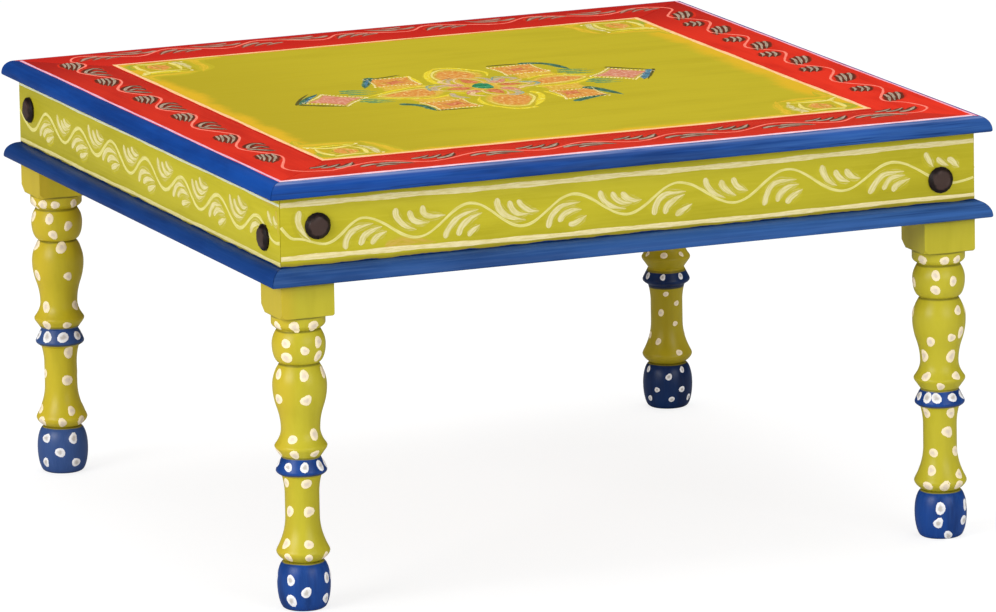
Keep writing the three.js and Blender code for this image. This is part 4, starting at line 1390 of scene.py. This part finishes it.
def make_camera():
    """The photograph's viewpoint: a long lens from the near left, a little above the table."""
    azimuth, elevation, roll = (math.radians(turn) for turn in CAMERA_TURNS)
    back = Vector((math.sin(azimuth) * math.cos(elevation), -math.cos(azimuth) * math.cos(elevation),
                   math.sin(elevation)))
    right = Vector((math.cos(azimuth), math.sin(azimuth), 0))
    up = back.cross(right)
    tilted_right = math.cos(roll) * right + math.sin(roll) * up
    tilted_up = -math.sin(roll) * right + math.cos(roll) * up
    centre = CAMERA_AIM[0] * tilted_right + CAMERA_AIM[1] * tilted_up
    camera = bpy.data.objects.new("camera", bpy.data.cameras.new("camera"))
    camera.data.lens = LENS
    camera.data.sensor_width = SENSOR
    camera.data.clip_end = 100
    axes = Matrix((tilted_right, tilted_up, back)).transposed().to_4x4()
    camera.matrix_world = Matrix.Translation((centre + CAMERA_AWAY * back) * MM) @ axes
    bpy.context.scene.collection.objects.link(camera)
    bpy.context.scene.camera = camera


# Name, place, size and power of each lamp, in metres and watts
LAMPS = (
    ("key_lamp", (-3.9, -1.5, 1.9), (2.4, 1.8), 112),
    ("fill_lamp", (1.0, -4.0, 1.6), (2.4, 1.8), 52),
    ("top_lamp", (0.3, 0.4, 3.2), (2.6, 2.6), 50),
)
LAMPS_AIM = Vector((0, 0, 0.2))
FLOOR_HALF = 30


def paper_floor():
    """White paper that keeps a soft shadow: white to the camera, greyer in reflections, and seen
    through from below."""
    material, add = new_material("white_paper_floor")
    glow = add("Emission", {"Color": "FFFFFF", "Strength": 0.8})
    matt = add("BsdfDiffuse", {"Color": [0.26, 0.26, 0.26, 1]})
    tone = add("MapRange", {0: add("LightPath", out="Is Glossy Ray"), 3: 0.72, 4: 0.3},
               interpolation_type="LINEAR")
    white = add("BsdfDiffuse", {"Color": tone})
    lit = add("AddShader", {0: glow, 1: matt})
    top = add("MixShader", {0: add("LightPath", out="Is Camera Ray"), 1: white, 2: lit})
    both = add("MixShader", {0: add("NewGeometry", out="Backfacing"), 1: top, 2: add("BsdfTransparent")})
    add("OutputMaterial", {"Surface": both})
    return material


def make_stage():
    """The floor, soft lamps, and an even pale surround."""
    shape = bmesh.new()
    bmesh.ops.create_grid(shape, x_segments=1, y_segments=1, size=FLOOR_HALF)
    floor = in_scene("floor", shape)
    floor.data.materials.append(paper_floor())

    world = bpy.data.worlds.new("surround")
    bpy.context.scene.world = world
    world.use_nodes = True
    world.node_tree.nodes.clear()
    add = functools.partial(add_node, world.node_tree)
    plain = add("MapRange", {0: add("LightPath", out="Is Camera Ray"), 3: 0.5, 4: 1.0},
                interpolation_type="LINEAR")
    strength = add("Math", {0: add("LightPath", out="Is Glossy Ray"), 1: -0.46, 2: plain},
                   operation="MULTIPLY_ADD")
    add("OutputWorld", {"Surface": add("Background", {"Color": "FFFFFF", "Strength": strength})})

    for name, place, size, power in LAMPS:
        lamp = bpy.data.lights.new(name, "AREA")
        lamp.shape = "RECTANGLE"
        lamp.size, lamp.size_y = size
        lamp.energy = power
        holder = bpy.data.objects.new(name, lamp)
        holder.location = place
        holder.rotation_mode = "QUATERNION"
        holder.rotation_quaternion = (Vector(place) - LAMPS_AIM).to_track_quat("Z", "Y")
        bpy.context.scene.collection.objects.link(holder)


def on_green(name, *looks):
    """One paint brushed on the aprons, for the front and the back and then for the two sides. A look
    that differs between them is given as a list of two."""
    return [
        brushed_on(f"{name}_{'xy'[along]}", (YELLOW_GREEN, along),
                   *(look[along] if isinstance(look, list) else look for look in looks))
        for along in (0, 1)
    ]


make_camera()
make_stage()

TOP_PAINT = [painted_top_rail(along) for along in (0, 1)]
APRON_PAINT = [
    painted_board(f"oil_paint_apron_{'xy'[along]}", YELLOW_GREEN, along, APRON_BACK + 1.5, splash_and_shade=True)
    for along in (0, 1)
]
# The base's blue: on the front and back with the painted sheen towards the right
BASE_PAINT = [
    painted_board(f"oil_paint_moulding_{'xy'[along]}", BLUE_BASE[along], along, APRON_BACK + 4,
                  sheen_to_right=not along)
    for along in (0, 1)
]
LEG_PAINT = [turned_paint(*leg) for leg in LEG_COATS]
IRON = hammered_iron()
STEEL = zinc_steel()
BARE = [bare_wood(along) for along in (0, 1)]
FIELD_PAINT = painted_field()

# Cream oil paint on the aprons' yellow-green: opaque in the lines and the vine, thinner in the
# leaves' tails, and a mere haze or smear where the brush only touched
LOW_LINE_ON_GREEN = on_green("cream_line", [("E2D28C", "F4E6B0"), ("D4C878", "E4DA98")], 1.0, 0.0, 0.6)
HIGH_LINE_ON_GREEN = on_green("pale_line", [("DCCC86", "ECE0A8"), ("CCD0A8", "DEE0C4")], 1.0, 0.0, 0.6)
STEM_ON_GREEN = on_green("cream_stem", ("D8CE6C", "E8E090"), 0.95, 0.0, 0.8)
LEAF_ON_GREEN = on_green("cream_leaf", CREAM, 0.9, 0.3, [1.0, 1.15], 0.9)
HAZE_ON_GREEN = on_green("thin_cream", ("D2C67C", "DACE8C"), [0.7, 0.85], 0.1, 1.1, 0.5)
SMEAR_ON_GREEN = on_green("ochre_smear", ("C89A3C", "DCA860"), 0.6, 0.1, 1.1, 0.5)

# Oil paint on the border's vermilion: pale ruled lines, a salmon vine, and sage leaves whose wet
# # outlines of umber have mixed with the red. At the back the same paints are darker and duller, as painted
# shade
EDGE_ON_RED = brushed_on("pink_white_line", (RED, 0), ("F0B0B8", "FCE0EC"), 1.0, 0.0, 0.4)
ROSY_EDGE_ON_RED = brushed_on("rosy_line", (RED, 1), ("E29AB0", "F4C0D4"), 0.95, 0.0, 0.4)
INNER_LINE_PAINT = brushed_on("peach_line", (RED, 0), ("F4B874", "FCD2A0"), 0.98, 0.0, 0.4)
STEM_ON_RED = brushed_on("salmon_stem", (RED, 0), ("F4705C", "FF9480"), 0.95, 0.0, 0.6)
DARK_ON_RED = brushed_on("umber_outline", (RED, 0), ("38200F", "66301C"), 0.9, 0.1, 1.05, 0.9)
LEAF_ON_RED = brushed_on("sage_leaf", (("402614", "50301C", "643C28"), 0), ("8A806C", "CCB09A"),
                         0.82, 0.2, 0.95, 0.92)
SHADED_DARK_ON_RED = brushed_on("shaded_brown_outline", (RED, 0), ("66281C", "8A3A28"), 0.82, 0.1, 0.95, 0.8)
SHADED_LEAF_ON_RED = brushed_on("shaded_dull_leaf", (("6C2C20", "7C3828", "8C4434"), 0), ("A07868", "C8A08C"),
                              0.8, 0.2, 0.9, 0.9)

# Oil paint on the field, wet in wet: two tones, cover, softness, most and flecks of each
FLOWER_PAINTS = {
    name: brushed_on(f"{name}_on_field", (FIELD, 0), tones, cover, 0.1, soft, most, flecks)
    for name, tones, cover, soft, most, flecks in (
        ("glaze", ("E2B01E", "ECC036"), 0.55, 0.9, 0.8, None),
        ("halo", ("D8C01C", "E4D028"), 0.6, 1.2, 0.6, None),
        ("gold", ("D8A430", "E4BC4C"), 0.8, 0.8, 0.88, ("ECCC6C", "D4923A")),
        ("orange", ("D88838", "E29E4C"), 0.85, 0.7, 0.92, ("EEC47E", "D07038")),
        ("umber_soft", ("9A7C2C", "AC8A3C"), 0.6, 0.8, 0.7, None),
        ("sage", ("6A9C58", "3E8A68"), 0.78, 0.8, 0.88, ("A8BC58", "2A6A5C")),
        ("yellow", ("E2C61C", "EEDC34"), 0.9, 0.95, 0.92, ("F2E878", "DCB428")),
        ("red", ("CC5A40", "DC7858"), 0.75, 0.8, 0.85, ("EC9C78", "B84430")),
        ("rose", ("D07460", "DC947E"), 0.85, 0.7, 0.92, ("E8BCA4", "C46A54")),
        ("slate", ("5A8488", "8CACA4"), 0.75, 0.7, 0.85, ("CCD4C8", "3C6470")),
        ("teal", ("164E4A", "2A7464"), 0.85, 0.7, 0.92, ("5A9C84", "123836")),
        ("umber", ("2E3420", "54502A"), 0.8, 0.7, 0.88, None),
        ("blue", ("205E88", "4488A4"), 0.85, 0.6, 0.92, ("94BEC4", "143E5C")),
        ("mist", ("B09680", "CDB8A0"), 0.78, 0.9, 0.8, ("98A89C", "DCA490")),
        ("blush", ("E2B080", "F0D0A4"), 0.72, 0.8, 0.8, None),
        ("cream", ("ECD46C", "F4E68C"), 0.75, 0.85, 0.82, None),
        ("green", ("1E7448", "3C9A68"), 1.0, 0.5, 1.0, ("6CB890", "185848")),
        ("sage_soft", ("8CA438", "6E9C48"), 0.5, 0.9, 0.6, None),
        ("mist_soft", ("D8C890", "E4D8AC"), 0.6, 0.9, 0.7, ("F4ECCC", "A89048")),
    )
}

# Dabs from a blunt tool: paint that stands thick and dries with a paler rim
PALE_BEADS = dabbed_on("cream_beads", "E6C88C", "F4E2AE")
DOT_ON_GREEN = dabbed_on("cream_dots", "E2D2BC", "FAEAC4")
DOT_ON_BLUE = dabbed_on("white_dots", "C4BEB8", "F0F0F2")

make_boards()
make_legs()
make_studs()
for side in range(4):
    paint_apron(side)
paint_border()
paint_medallion()
paint_dots()

# The solids that show as they are
for name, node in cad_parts.items():
    if name == "top_panel":
        material = FIELD_PAINT
    elif "screw" in name or "nail" in name:
        material = STEEL
    elif name.startswith("cleat_"):
        material = BARE[0 if name.endswith(("front", "back")) else 1]
    elif name.startswith("batten_"):
        material = BARE[1]
    else:
        continue
    node.data.materials.clear()
    node.data.materials.append(material)
